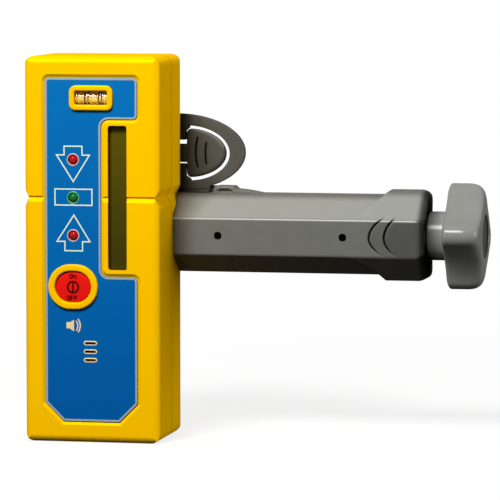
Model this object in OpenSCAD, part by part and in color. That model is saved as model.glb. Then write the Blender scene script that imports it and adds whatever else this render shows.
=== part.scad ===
// Laser receiver on its grade rod clamp, in millimetres, +Z up.
// Origin: the corner of the rod pocket, where the fixed pad's face, the back of the arm
// and the reading edge on top of the arm meet. Z = 0 is the on-grade plane.
// +X runs along the arm to the knob, and the front of the receiver faces -Y.

/* [Case] */
// Width of the receiver case
case_w = 53.6; // [52:0.2:58]
// Depth of the receiver case
case_d = 40; // [39:0.5:44]
// Height of the receiver case
case_h = 150; // [148:1:160]
// Wall of both shells
case_wall = 2.2; // [1.8:0.1:2.4]
// Rounding of the front edges
front_r = 2.8; // [1.5:0.1:3.2]
// Rounding of the corners seen from the front
corner_r = 4; // [3:0.1:5]
// Rounding of the rear edges
rear_r = 3; // [2:0.1:4]
// Rounding of the rear edge at the bottom
rear_low_r = 6; // [3:0.1:6]
// Depth of the front shell, up to the parting line
parting_d = 22; // [21.5:0.1:22.5]
// Height of the on-grade line above the bottom
grade_h = 95.3; // [94:0.1:97]
// Depth of the on-grade notch in the sides
notch_d = 1.9; // [1:0.1:2.2]
// Height of the side notch above the on-grade line
notch_up = 3.3; // [2:0.1:4]
// Height of the side notch below the on-grade line
notch_down = 4; // [2:0.1:5]
// Depth of the on-grade groove across the front
groove_d = 0.7; // [0.3:0.1:1]

/* [Front panel] */
// Depth of the recess that the label lies in
label_recess = 0.8; // [0.6:0.1:1.2]
// Thickness of the label
label_t = 0.5; // [0.3:0.1:0.6]
// Label's left edge, from the case's left side
label_left = 8.3; // [7:0.1:9]
// Label's right edge, from the case's right side
label_right = 8.7; // [8:0.1:10]
// Width of the label's narrow strip beside the window
strip_w = 22.2; // [21:0.1:23]
// Height of the label's head above the strip
head_h = 16; // [15:0.1:16.5]
// Height of the label's foot below the strip
foot_h = 56.4; // [54:0.1:56.6]
// Margin of the label at top and bottom
label_end = 8.3; // [7.5:0.1:9]
// Chamfer of the label's bottom corners
label_chamfer = 7.2; // [4:0.1:8]
// Width of the detector window
window_w = 7.5; // [6:0.1:8]
// Height of the detector window
window_h = 56; // [50:0.5:57]
// Centre of the window, from the case's right side
window_in = 16.5; // [16:0.1:17]

/* [Lamps and button] */
// Diameter of an indicator lamp
lamp_d = 4; // [3:0.1:4.6]
// Spacing of the three lamps
lamp_pitch = 14.7; // [12:0.1:15]
// Lamps, button and arrows are centred this far from the left side
lamp_in = 19.5; // [19:0.1:20]
// Width of the power button
button_w = 14.2; // [12:0.1:14.6]
// Height of the power button
button_h = 11.9; // [10:0.1:12]
// Height of the button's centre above the bottom
button_z = 60.7; // [60:0.1:61]
// Travel of the button
button_travel = 0.8; // [0.4:0.1:0.9]
// Width of the raised bezel round the button
bezel_w = 2.3; // [1.5:0.1:2.4]
// Rise of the bezels above the front
bezel_rise = 0.8; // [0.4:0.1:1]

/* [Level vial] */
// Width of the vial's opening
vial_w = 13.3; // [11:0.1:14]
// Height of the vial's opening
vial_h = 5.7; // [5.5:0.1:6.4]
// Height of the vial's centre above the bottom
vial_z = 133.9; // [133.5:0.1:134.5]
// Outer diameter of the vial's tube
vial_d = 5.4; // [5:0.1:5.4]

/* [Speaker] */
// Width of a speaker slot
slot_w = 4.4; // [3:0.1:5]
// Height of a speaker slot
slot_h = 0.9; // [0.6:0.1:1.2]
// Spacing of the speaker slots
slot_pitch = 3.3; // [2.5:0.1:3.6]
// Number of speaker slots
slot_count = 3; // [2:1:4]
// Speaker's centre from the left side
speaker_in = 26.2; // [24:0.1:28]
// Speaker's centre above the bottom
speaker_z = 35.5; // [34:0.1:37]
// Diameter of the buzzer
buzzer_d = 14; // [12:0.5:15]

/* [Boards] */
// Depth of the main board's front below the case's front
board_y = 9; // [8.8:0.1:10]
// Thickness of the main board
board_t = 1.6; // [1:0.1:2]
// Width of the main board
board_w = 32.6; // [32:0.1:33]
// Margin of the main board above the bottom
board_z = 14; // [13:0.5:15]
// Height of the main board
board_h = 117; // [116:0.5:118]

/* [Battery] */
// Width of the block battery
battery_w = 26.5; // [25:0.1:26.8]
// Depth of the block battery
battery_d = 17.5; // [16:0.1:17.5]
// Height of the block battery without its terminals
battery_h = 46.4; // [44:0.1:46.6]
// Thickness of the battery door
door_t = 2; // [1.6:0.1:2]
// Diameter of the door's hinge pin
door_pin_d = 1.6; // [1.2:0.1:1.8]

/* [Clamp arm] */
// Height of the arm
arm_h = 30.8; // [30:0.1:32]
// Depth of the arm
arm_d = 24; // [23.8:0.1:24]
// Height of the arm's flat front face
arm_face_h = 15.2; // [14:0.1:16]
// Depth of the slanted faces
arm_slant_d = 12.3; // [12:0.1:12.5]
// Length of the arm inside the case
rail_l = 45.6; // [42:0.1:46]
// Place of the arm's outer end
collar_x = 96; // [94:0.5:98]
// Height of the collar at the outer end
collar_h = 35.2; // [34:0.1:36]
// Rounding of the collar's outer corners
collar_r = 4; // [2:0.1:4.5]
// Gap between the case's side and the fixed pad's face
case_gap = 3.4; // [3:0.1:4]
// Distance from the case's back to the back of the arm
case_standoff = 8; // [7.6:0.1:8.4]

/* [Jaws and screw] */
// Space between the pads at rest
rod_gap = 26; // [24:0.5:27]
// Opening travel of the sliding jaw
jaw_open = 36; // [30:0.5:36]
// Height of the jaws
jaw_h = 24; // [20:0.5:25]
// Depth of the jaws behind the arm
jaw_d = 36; // [30:0.5:40]
// Thickness of a jaw
jaw_t = 10; // [8:0.5:11]
// Thickness of the rubber pads
pad_t = 2; // [1:0.1:3]
// Diameter of the clamp screw
screw_d = 10; // [8:0.5:10]
// Diameter of the knob's hub
hub_d = 19; // [17:0.5:19]

/* [Knob] */
// Outer diameter of the knob over its lobes
knob_d = 41.2; // [38:0.2:44]
// Thickness of the knob
knob_t = 15.4; // [14.5:0.1:20]
// Space between the collar and the knob at rest
knob_gap = 7; // [5.5:0.1:8.5]
// Number of lobes
lobe_count = 4; // [3:1:6]

/* [Latch] */
// Reach of the guard past the case's side
guard_reach = 25.3; // [22:0.1:26]
// Height of the guard above the arm
guard_h = 31; // [30:0.1:33]
// Thickness of the guard
guard_t = 2.8; // [2.4:0.1:2.8]
// Slot between the guard and the release tab
tab_gap = 1.2; // [1:0.1:1.5]
// Diameter of the latch pin
latch_pin_d = 2; // [1.5:0.1:2]

/* [Hidden] */
$fn = 64;

yellow = "#f7c400";
blue = "#0a62b4";
dark_grey = "#5c5c58";
mid_grey = "#77776f";
steel = "#b9bcc0";
black = "#222222";
green_board = "#1f6b3a";
red = "#e0201a";

// Overrun of every cut
over = 6;
// Sliding clearance, running clearance of a pin or shaft, and clearance of loose fits
slide_gap = 0.3;
run_gap = 0.05;
fit_gap = 0.15;

// Place of the case's left, front, bottom corner
case_x = -(case_gap + case_w);
case_y = -(case_standoff + case_d);
case_z = -grade_h;

// Flange of both shells at the parting plane, with the gasket's groove in the front one
rim_w = 2 * case_wall;
rim_t = 3;
gasket_w = 1.2;
gasket_t = 0.8;
gasket_in = (case_wall + rim_w - gasket_w) / 2;
notch_back_h = 12;
groove_up = 0.6;
groove_down = 1.8;

// Case screws: places from the sides, and heights
case_screw_in = 6.2;
case_screw_low = 22;
case_screw_top = 9;
case_screw_d = 2.8;
case_screw_l = 12;
case_head_d = 5.2;
case_head_t = 2.2;
case_seat_t = 4;
case_boss_d = 6.4;
case_bore_d = 5.6;

// Outline of the label and of its recess
label_r = 1.8;
step_r = 3;
label_gap = fit_gap;
lip_w = 1.2;
label_x1 = case_w - label_right;
label_z1 = case_h - label_end;
strip_x1 = label_left + strip_w;
head_z = label_z1 - head_h;
foot_z = label_end + foot_h;
chamfer_grow_share = 2 - sqrt(2);

// Window, pane and sensor behind it
window_x = case_w - window_in;
window_r = 1;
pane_lap = 1.2;
pane_t = 1.5;
seal_t = 0.5;
pane_y = case_wall + seal_t;
sensor_t = 1.2;
diode_t = 1.2;
diode_count = 8;
diode_pitch = window_h / (diode_count + 1);
diode_fill_share = 0.84;
diode_w = diode_fill_share * diode_pitch;
header_l = 1.8;
header_w = 5;
header_h = 2.5;
header_spread_share = 0.4;
sensor_y = board_y - header_l - sensor_t;

// Board bosses
boss_in = 2.5;
boss_z = 4;
boss_d = 5;
board_screw_d = 2;
board_screw_l = 5;
board_head_d = 3.8;
board_head_t = 1.5;
chip_w = 12;
chip_t = 1.6;
chip_up = 9;

// Lamps
lamp_rise = 0.3;
lamp_hole = lamp_d + 2 * fit_gap;
lamp_flange_w = 0.3;
lamp_flange_d = lamp_d + 2 * lamp_flange_w;
lamp_flange_t = 1;
lamp_l = 5.2;
lamp_leg = 0.5;
lamp_leg_pitch = 2.54;

// Button and switch
button_rise = 0.7;
button_lip = 1.2;
button_flange_t = 1.5;
button_stem_d = 5;
switch_w = 6;
switch_t = 3.5;
plunger_d = 3.4;
plunger_l = 2.4;
switch_y = board_y - switch_t;
plunger_y = switch_y - button_travel - slide_gap / 2;
flange_y = case_wall + slide_gap;

// Vial
vial_bezel = 1.8;
vial_bezel_r = 2.3;
vial_r = 0.8;
vial_depth = 0.5;
vial_l = vial_w - 2 * fit_gap;
vial_wall = 0.7;
plug_t = 1;
vial_y = vial_depth + vial_d / 2;
bubble_d = 2;
bubble_l = 4;
cradle_lap = 2.1;
cradle_t = 5.2;

// Buzzer
buzzer_gasket_t = 0.8;
buzzer_ring_w = 1.2;

// Battery, its bay and its door
battery_gap = 0.6;
battery_r = 1.5;
terminal_h = 2.1;
terminal_plus_d = 5.7;
terminal_minus_d = 8;
terminal_pitch = 12.7;
snap_t = 3;
snap_d = 12;
snap_gap = 0.2;
lead_d = 1.4;
lead_pitch = 6;
bay_wall = 1.5;
bay_y = case_d - door_t - battery_d - 2 * fit_gap;
barrel_r = 1.8;
hinge_y = case_d - barrel_r;
hinge_z = rear_low_r + barrel_r + 2 * fit_gap;
bay_z = hinge_z + barrel_r + slide_gap;
bay_w = battery_w + 2 * battery_gap;
bay_h = battery_h + snap_t + 3 * slide_gap;
door_lap = 1.7;
door_w = bay_w + 2 * door_lap;
door_top = bay_z + bay_h + 2 * battery_gap;
pin_seat = 2;
lug_h = 6;
notch_grip_w = 12;
notch_grip_d = 1.2;

// Arm: section, tunnel, slot and the rail inside the case
arm_zc = -arm_h / 2;
arm_x0 = -(case_gap + rail_l);
slant_h = (arm_h - arm_face_h) / 2;
slant_a = atan2(slant_h, arm_slant_d);
arm_wall_front = 3.6;
arm_wall_back = 3.4;
tunnel_h = 15;
tunnel_d = arm_d - arm_wall_front - arm_wall_back;
axis_y = -arm_wall_back - tunnel_d / 2;
slot_back_h = 9;
lip_t = 3;
lip_d = 1.4;
cap_t = 1.5;
cap_spigot = 6;
channel_wall = 2;
sight_hole_d = 2.8;
sight_hole_shares = [0.1516, 0.6667];

// Collar: its outline seen from the front, as steps back from the outer end and heights
collar_flare_l = 32;
collar_flare_shares = [[0, 0.4], [0.19, 0.54], [0.37, 0.72], [0.56, 1]];
nut_af = 15;
nut_way = 1.1;
collar_bore = nut_af / cos(30) + 2 * nut_way;
collar_bore_l = 7.6;
nut_x1 = collar_x - collar_bore_l;
chevron_w = 1.3;
chevron_d = 0.6;
chevron_reach = 10.5;
chevron_run = 9;
chevron_back_shares = [0.67, 0.49];

// Step on the arm's top beside the guard, seen from the front
stop_l = 22;
stop_h = 2.6;
stop_shares = [[0, 0], [0, 0.92], [0.42, 1], [0.48, 0.5], [1, 0]];
stop_d = 6;

// Jaws and screw
flange_l = 18;
flange_t = 4;
jaw_screw_d = 3.5;
jaw_screw_l = 10;
jaw_screw_head_d = 6.5;
jaw_screw_up = 10.6;
pad_margin = 0.6;
carriage_l = 29.3;
carriage_back = 20;
neck_h = slot_back_h - 2 * slide_gap;
neck_inset = 1;
jaw_x = rod_gap + pad_t;
carriage_x = jaw_x - carriage_back;
carriage_x1 = carriage_x + carriage_l;
washer_t = 1;
washer_d = 13;
nut_x0 = carriage_x1 + washer_t + jaw_open + 2 * slide_gap;
nut_l = nut_x1 - nut_x0;
journal_share = 0.8;
journal_d = journal_share * screw_d;
clip_d = 12;
clip_t = 0.9;
clip_groove_share = 0.64;
clip_groove_d = clip_groove_share * screw_d;
clip_back = 19.6;
pocket_d = 13.4;
journal_tail = 1.6;

// Knob
knob_x = collar_x + knob_gap;
hub_x = collar_x + slide_gap;
valley_share = 0.72;
knob_in_r = 2.4;
knob_out_r = 5;
lobe_steps = 96;
knob_recess_d = 17;
knob_recess_t = 2;
cap_plate_t = 1.2;
screw_seat = 11;
roll_pin_d = 3;
roll_pin_x = (hub_x + knob_x) / 2;

// Latch: guard plate, tab and pin
guard_clear = 0.8;
guard_y = -(case_standoff - guard_clear);
guard_left = -27;
guard_mid = 15.75;
guard_cx = -5.5;
guard_foot_x = 7.8;
tab_cx = -1.6;
tab_mid = 15.4;
tab_a = 15.6;
tab_b = 9.7;
neck_tab_h = 6.6;
tab_t = 2;
tab_y = guard_y + (guard_t - tab_t) / 2;
pivot_x = -22;
pivot_r = 1.9;
pivot_y = tab_y + pivot_r;
nose_x = -12;
nose_w = 3;
nose_h = 4;
nose_in = 1.1;
pocket_gap = 0.8;
boss_h = 4;
spring_room = 2;
spring_wire = 0.5;
spring_r = 1.5;
spring_turns = 3;
ring_steps = 8;
turn_steps = 20;
guard_flange_t = 1.6;
guard_screw_d = 2.4;
guard_screw_l = 6;
guard_head_d = 3.8;
guard_head_t = 1.6;
guard_screw_y = -2.1;
guard_screw_shares = [0.5, -0.14];
rib_w = 0.9;
rib_d = 0.7;
rib_r = 24;
rib_shares = [0.21, 0.46];
rib_h_shares = [0.82, 0.62];

module in_case() translate([case_x, case_y, case_z]) children();

// Extrusions of a drawn outline: along X (drawn in Y and Z), and along Y (drawn in X and Z)
module along_x(x0, l) translate([x0, 0, 0]) rotate([90, 0, 90]) linear_extrude(l) children();
module along_y(y0, l) translate([0, y0 + l, 0]) rotate([90, 0, 0]) linear_extrude(l) children();

module rod_x(d, x0, l) translate([x0, 0, 0]) rotate([0, 90, 0]) cylinder(d = d, h = l);
module rod_y(d, y0, l) translate([0, y0 + l, 0]) rotate([90, 0, 0]) cylinder(d = d, h = l);

// Rectangle from the corner [0, 0] with its own radius at each corner, bottom left first
module round_rect(w, h, r) {
  polygon([
    [r[0], 0], [w - r[1], 0], [w, r[1]], [w, h - r[2]],
    [w - r[2], h], [r[3], h], [0, h - r[3]], [0, r[0]]
  ]);
  translate([r[0], r[0]]) circle(r[0]);
  translate([w - r[1], r[1]]) circle(r[1]);
  translate([w - r[2], h - r[2]]) circle(r[2]);
  translate([r[3], h - r[3]]) circle(r[3]);
}

module rect_between(x0, z0, x1, z1, r) translate([x0, z0]) round_rect(x1 - x0, z1 - z0, [r, r, r, r]);

// Oblong with round ends, centred
module oblong(w, h) {
  square([w - h, h], center = true);
  for (side = [-1, 1]) translate([side * (w - h) / 2, 0]) circle(d = h);
}

// Box with rounded edges, made as the common part of three rounded prisms
module rounded_box(w, d, h, front, corner, rear, rear_low) {
  intersection() {
    along_y(0, d) round_rect(w, h, [corner, corner, corner, corner]);
    along_x(0, w) round_rect(d, h, [front, rear_low, rear, front]);
    linear_extrude(h) round_rect(w, d, [front, front, rear, rear]);
  }
}

module case_block() rounded_box(case_w, case_d, case_h, front_r, corner_r, rear_r, rear_low_r);

module case_inside() {
  translate([case_wall, case_wall, case_wall])
    rounded_box(case_w - 2 * case_wall, case_d - 2 * case_wall, case_h - 2 * case_wall,
      front_r - case_wall, corner_r - case_wall, rear_r - case_wall, rear_low_r - case_wall);
}

// Everything in front of, or behind, a depth
module front_of(y) translate([-over, -over, -over]) cube([case_w + 2 * over, over + y, case_h + 2 * over]);
module behind(y) translate([-over, y, -over]) cube([case_w + 2 * over, case_d + over - y, case_h + 2 * over]);

module inset_outline(inset) {
  r = max(corner_r - inset, label_r);
  translate([inset, inset]) round_rect(case_w - 2 * inset, case_h - 2 * inset, [r, r, r, r]);
}

// V cut of a depth, with its own heights above and below, drawn with the surface at 0
module v_outline(depth, up, down) {
  reach = (depth + over) / depth;
  polygon([[-over, up * reach], [depth, 0], [-over, -down * reach]]);
}

// On-grade notch in both sides and thin groove across the front
module grade_marks() {
  translate([0, 0, grade_h]) {
    along_y(-over, case_d + 2 * over) v_outline(notch_d, notch_up, notch_down);
    translate([case_w, 0, 0]) mirror([1, 0, 0])
      along_y(-over, case_d + 2 * over) v_outline(notch_d, notch_up, notch_down);
    along_x(-over, case_w + 2 * over) v_outline(groove_d, groove_up, groove_down);
  }
}

module case_screw_places() {
  for (x = [case_screw_in, case_w - case_screw_in])
    for (z = [case_screw_low, case_h - case_screw_top]) translate([x, 0, z]) children();
}

module board_screw_places() {
  for (x = [boss_in, board_w - boss_in])
    for (z = [boss_z, board_h - boss_z]) translate([(case_w - board_w) / 2 + x, 0, board_z + z]) children();
}

// Outline of the label: head, strip and foot, grown by g
module label_outline(g) {
  leg = label_chamfer + chamfer_grow_share * g;
  x0 = label_left - g;
  z0 = label_end - g;
  difference() {
    union() {
      rect_between(x0, head_z - g, label_x1 + g, label_z1 + g, label_r);
      rect_between(x0, z0, strip_x1 + g, label_z1 + g, label_r);
      rect_between(x0, z0, label_x1 + g, foot_z + g, label_r);
      difference() {
        translate([strip_x1 + g, head_z - g - step_r]) square(step_r);
        translate([strip_x1 + g + step_r, head_z - g - step_r]) circle(step_r);
      }
      difference() {
        translate([strip_x1 + g, foot_z + g]) square(step_r);
        translate([strip_x1 + g + step_r, foot_z + g + step_r]) circle(step_r);
      }
    }
    polygon([[x0 - over, z0 - over], [x0 + leg + over, z0 - over], [x0 - over, z0 + leg + over]]);
    translate([label_x1 + g, z0])
      polygon([[over, -over], [over, leg + over], [-leg - over, -over]]);
  }
}

// Cone of the recess's lip, from its floor out past the front
module lip_cone(x, z, r_floor, r_front) {
  translate([x, label_recess, z]) rotate([90, 0, 0])
    cylinder(r1 = r_floor, r2 = r_front, h = 2 * label_recess);
}

// Tapered cut over a rectangle with round corners, a lip wider on each side at the front than on the floor
module lip_cut(x0, z0, x1, z1, r) {
  d = label_recess;
  w = 2 * lip_w;
  translate([0, 0, z0 + r]) linear_extrude(z1 - z0 - 2 * r)
    polygon([[x0, d], [x1, d], [x1 + w, -d], [x0 - w, -d]]);
  along_x(x0 + r, x1 - x0 - 2 * r) polygon([[d, z0], [d, z1], [-d, z1 + w], [-d, z0 - w]]);
  for (x = [x0 + r, x1 - r]) for (z = [z0 + r, z1 - r]) lip_cone(x, z, r, r + w);
}

// All that lies inside a tapered side through a point, turned by an angle
module lip_side(x, z, angle) {
  d = label_recess;
  translate([x, 0, z]) rotate([0, angle, 0]) translate([0, 0, -case_h]) linear_extrude(2 * case_h)
    polygon([[0, d], [2 * case_h, d], [2 * case_h, -d], [-2 * lip_w, -d]]);
}

// Recess of the label with its sloping lip
module recess_cut() {
  g = label_gap;
  x0 = label_left - g;
  x1 = label_x1 + g;
  z0 = label_end - g;
  z1 = label_z1 + g;
  leg = label_chamfer + chamfer_grow_share * g;
  lip_cut(x0, head_z - g, x1, z1, label_r);
  intersection() {
    union() {
      lip_cut(x0, z0, strip_x1 + g, z1, label_r);
      lip_cut(x0, z0, x1, foot_z + g, label_r);
    }
    lip_side(x0 + leg / 2, z0 + leg / 2, -45);
    lip_side(x1 - leg / 2, z0 + leg / 2, 225);
  }
  for (z = [head_z - step_r, foot_z + step_r]) difference() {
    translate([strip_x1 + step_r / 2, 0, z + (z > grade_h ? step_r : -step_r) / 2])
      cube([step_r, 2 * label_recess, step_r], center = true);
    lip_cone(strip_x1 + step_r, z, step_r - g, step_r - g - 2 * lip_w);
  }
}

module lamp_places() {
  for (step = [-1, 0, 1]) translate([lamp_in, grade_h + step * lamp_pitch]) children();
}

module button_place() translate([lamp_in, button_z]) children();

module vial_place() translate([case_w / 2, vial_z]) children();

module speaker_slots() {
  for (i = [0 : slot_count - 1])
    translate([speaker_in, speaker_z + (i - (slot_count - 1) / 2) * slot_pitch]) oblong(slot_w, slot_h);
}

// Plan of the vial's opening, grown by g with the corner radius r
module vial_plan(g, r) {
  w = vial_w + 2 * g;
  h = vial_h + 2 * g;
  translate([-w / 2, -h / 2]) round_rect(w, h, [r, r, r, r]);
}

module window_plan(g) {
  w = window_w + 2 * g;
  h = window_h + 2 * g;
  translate([window_x - w / 2, grade_h - h / 2]) round_rect(w, h, [window_r, window_r, window_r, window_r]);
}

bezel_out_w = button_w + 2 * (slide_gap + bezel_w);
bezel_out_h = button_h + 2 * (slide_gap + bezel_w);

module front_shell() {
  color(yellow) in_case() difference() {
    union() {
      difference() {
        case_block();
        behind(parting_d);
        along_y(case_wall, parting_d - rim_t - case_wall) inset_outline(case_wall);
        along_y(case_wall, case_d) inset_outline(rim_w);
        recess_cut();
      }
      for (x = [case_wall / 2, case_w - rim_w])
        translate([x, case_wall / 2, grade_h - notch_back_h / 2])
          cube([rim_w - case_wall / 2, parting_d - case_wall / 2, notch_back_h]);
      case_screw_places() rod_y(case_boss_d, case_wall / 2, parting_d - case_wall / 2);
      board_screw_places() rod_y(boss_d, case_wall / 2, board_y - case_wall / 2);
      along_y(-bezel_rise, bezel_rise + case_wall) button_place() oblong(bezel_out_w, bezel_out_h);
      along_y(-bezel_rise, bezel_rise + case_wall) vial_place() vial_plan(vial_bezel, vial_bezel_r);
    }
    grade_marks();
    case_screw_places() rod_y(case_screw_d, parting_d + case_seat_t - case_screw_l, case_screw_l + over);
    board_screw_places() rod_y(board_screw_d, board_y + board_t - board_screw_l, board_screw_l + over);
    along_y(parting_d - gasket_t, gasket_t + over) gasket_outline();
    along_y(-over, over + 2 * case_wall) {
      window_plan(0);
      lamp_places() circle(d = lamp_hole);
      button_place() oblong(button_w + 2 * slide_gap, button_h + 2 * slide_gap);
      vial_place() vial_plan(0, vial_r);
      speaker_slots();
    }
  }
}

module gasket_outline() {
  difference() {
    inset_outline(gasket_in);
    inset_outline(gasket_in + gasket_w);
  }
}

module case_gasket() color(black) in_case() along_y(parting_d - gasket_t, gasket_t) gasket_outline();

// Section of the arm in Y and Z about its own axis height, grown by g, out to the depth back
function arm_section(g, back) = let(
  fz = arm_face_h / 2 + g * tan((90 - slant_a) / 2),
  sy = arm_slant_d - arm_d - g * tan(slant_a / 2),
  hz = arm_h / 2 + g
) [[-arm_d - g, -fz], [-arm_d - g, fz], [sy, hz], [back, hz], [back, -hz], [sy, -hz]];

// Channel that takes the arm, with a lip above and below at the case's back
module channel_outline() {
  lip = lip_d - fit_gap;
  difference() {
    polygon(arm_section(fit_gap, over));
    for (side = [-1, 1])
      translate([-case_standoff - lip_t / 2 + fit_gap, side * (arm_h / 2 + fit_gap)])
        square([lip_t - 2 * fit_gap, 2 * lip], center = true);
  }
}

module channel_cut() {
  x0 = arm_x0 - cap_t - fit_gap;
  translate([0, 0, arm_zc]) along_x(x0, over - case_gap - x0) channel_outline();
}

module channel_block() {
  x0 = arm_x0 - cap_t - fit_gap - channel_wall - case_x;
  h = arm_h + 2 * (fit_gap + channel_wall);
  translate([x0, parting_d, grade_h + arm_zc - h / 2]) cube([case_w - x0, case_d - parting_d, h]);
}

module bay_outline(g) {
  translate([case_w / 2 - bay_w / 2 - g, bay_z - g]) square([bay_w + 2 * g, bay_h + 2 * g]);
}

module latch_pocket(g, y0, y1) {
  w = nose_w + 2 * g;
  h = nose_h + 2 * g;
  translate([nose_x - w / 2, y0, tab_mid - h / 2]) cube([w, y1 - y0, h]);
}

module door_space() {
  along_y(case_d - door_t - fit_gap, door_t + over)
    translate([case_w / 2 - door_w / 2 - slide_gap, hinge_z])
      square([door_w + 2 * slide_gap, door_top - hinge_z + slide_gap]);
  translate([case_w / 2 - door_w / 2 - slide_gap, hinge_y, hinge_z]) {
    rod_x(2 * (barrel_r + slide_gap), 0, door_w + 2 * slide_gap);
    translate([0, 0, -barrel_r - 2 * slide_gap])
      cube([door_w + 2 * slide_gap, barrel_r + over, barrel_r + 2 * slide_gap]);
  }
}

module rear_shell() {
  pin_l = door_w + 2 * pin_seat;
  color(yellow) difference() {
    in_case() union() {
      difference() {
        case_block();
        intersection() {
          case_inside();
          behind(parting_d + rim_t);
        }
        along_y(parting_d - over, rim_t + 2 * over) inset_outline(rim_w);
        front_of(parting_d);
      }
      intersection() {
        case_block();
        union() {
          channel_block();
          for (x = [case_wall / 2, case_w - rim_w])
            translate([x, parting_d, grade_h - notch_back_h / 2])
              cube([rim_w - case_wall / 2, case_d - parting_d, notch_back_h]);
          translate([case_w / 2 - pin_l / 2 - pin_seat, hinge_y - lug_h / 2, case_wall / 2])
            cube([pin_l + 2 * pin_seat, lug_h, hinge_z + lug_h / 2]);
          translate([-case_x, -case_y, -case_z])
            latch_pocket(2 * pocket_gap, -case_standoff - 2 * case_wall, -case_standoff);
        }
      }
      along_y(bay_y - bay_wall, case_d - door_t - bay_y + bay_wall) bay_outline(bay_wall);
      case_screw_places() rod_y(case_boss_d + case_wall, parting_d, case_d - parting_d - case_wall / 2);
    }
    channel_cut();
    latch_pocket(pocket_gap, -case_standoff - nose_in - pocket_gap, over - case_standoff);
    in_case() {
      grade_marks();
      door_space();
      along_y(bay_y, case_d) bay_outline(0);
      translate([0, hinge_y, hinge_z]) rod_x(door_pin_d, case_w / 2 - pin_l / 2, pin_l);
      case_screw_places() rod_y(case_screw_d + 2 * fit_gap, parting_d - over, case_d);
      case_screw_places() rod_y(case_bore_d, parting_d + case_seat_t, case_d);
      lead_places() rod_y(lead_d + 2 * fit_gap, bay_y - bay_wall - over, bay_wall + 2 * over);
      board_screw_places()
        rod_y(board_head_d + 2 * slide_gap, board_y, board_t + board_head_t + slide_gap);
    }
  }
}

module case_screws() {
  color(steel) in_case() case_screw_places() {
    rod_y(case_screw_d, parting_d + case_seat_t - case_screw_l, case_screw_l);
    difference() {
      rod_y(case_head_d, parting_d + case_seat_t, case_head_t);
      along_y(parting_d + case_seat_t + case_head_t / 2, over) {
        square([case_head_d / 2, case_head_t / 3], center = true);
        square([case_head_t / 3, case_head_d / 2], center = true);
      }
    }
  }
}

module front_label() {
  color(blue) in_case() along_y(label_recess - label_t, label_t) difference() {
    label_outline(0);
    lamp_places() circle(d = lamp_hole);
    button_place() oblong(bezel_out_w + 2 * fit_gap, bezel_out_h + 2 * fit_gap);
    vial_place() vial_plan(vial_bezel + fit_gap, vial_bezel_r + fit_gap);
    speaker_slots();
  }
}

module window_seal() {
  color(black) in_case() along_y(case_wall, seal_t) difference() {
    window_plan(pane_lap);
    window_plan(0);
  }
}

module window_filter() color("#33391f") in_case() along_y(pane_y, pane_t) window_plan(pane_lap);

module photodiodes() {
  color(black) in_case() for (i = [0 : diode_count - 1])
    translate([window_x, sensor_y - diode_t / 2, grade_h + (i - (diode_count - 1) / 2) * diode_pitch])
      cube([diode_w, diode_t, diode_w], center = true);
}

module sensor_board() {
  color(green_board) in_case() along_y(sensor_y, sensor_t) window_plan(0);
}

module sensor_headers() {
  color(black) in_case() for (side = [-1, 1])
    translate([window_x, board_y - header_l / 2, grade_h + side * header_spread_share * window_h])
      cube([header_w, header_l, header_h], center = true);
}

module main_board() {
  color(green_board) in_case() difference() {
    translate([(case_w - board_w) / 2, board_y, board_z]) cube([board_w, board_t, board_h]);
    board_screw_places() rod_y(board_screw_d + 2 * fit_gap, board_y - over, board_t + 2 * over);
  }
}

module board_screws() {
  color(steel) in_case() board_screw_places() {
    rod_y(board_screw_d, board_y + board_t - board_screw_l, board_screw_l);
    rod_y(board_head_d, board_y + board_t, board_head_t);
  }
}

module processor_chip() {
  color(black) in_case() translate([case_w / 2, board_y + board_t + chip_t / 2, grade_h + chip_up])
    cube([chip_w, chip_t, chip_w], center = true);
}

// Indicator lamp with its dome, flange and two legs to the board, a number of steps from on-grade
module lamp(step, shade) {
  color(shade) in_case() translate([lamp_in, 0, grade_h + step * lamp_pitch]) {
    dome_y = lamp_d / 2 - lamp_rise;
    translate([0, dome_y, 0]) sphere(d = lamp_d);
    rod_y(lamp_d, dome_y, lamp_l - dome_y);
    rod_y(lamp_flange_d, lamp_l, lamp_flange_t);
    for (side = [-1, 1])
      translate([side * lamp_leg_pitch / 2 - lamp_leg / 2, lamp_l, -lamp_leg / 2])
        cube([lamp_leg, board_y - lamp_l, lamp_leg]);
  }
}

module high_lamp() lamp(1, red);
module on_grade_lamp() lamp(0, "#20a050");
module low_lamp() lamp(-1, red);

module power_button() {
  color(red) in_case() {
    along_y(-bezel_rise - button_rise, bezel_rise + button_rise + flange_y)
      button_place() oblong(button_w, button_h);
    along_y(flange_y, button_flange_t)
      button_place() oblong(button_w + 2 * button_lip, button_h + 2 * button_lip);
    translate([lamp_in, 0, button_z]) rod_y(button_stem_d, flange_y, plunger_y - flange_y);
  }
}

module switch_plunger() {
  color(black) in_case() translate([lamp_in, 0, button_z]) rod_y(plunger_d, plunger_y, plunger_l);
}

module power_switch() {
  color(steel) in_case() translate([lamp_in, 0, button_z]) difference() {
    translate([0, board_y - switch_t / 2, 0]) cube([switch_w, switch_t, switch_w], center = true);
    rod_y(plunger_d + 2 * fit_gap, switch_y - over, over + plunger_l);
  }
}

module buzzer() {
  y0 = case_wall + buzzer_gasket_t;
  color(black) in_case() translate([speaker_in, 0, speaker_z]) difference() {
    rod_y(buzzer_d, y0, board_y - y0);
    rod_y(buzzer_d / 4, y0 - over, over + buzzer_gasket_t);
  }
}

module buzzer_gasket() {
  color(dark_grey) in_case() translate([speaker_in, 0, speaker_z]) difference() {
    rod_y(buzzer_d, case_wall, buzzer_gasket_t);
    rod_y(buzzer_d - 2 * buzzer_ring_w, case_wall - over, buzzer_gasket_t + 2 * over);
  }
}

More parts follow.
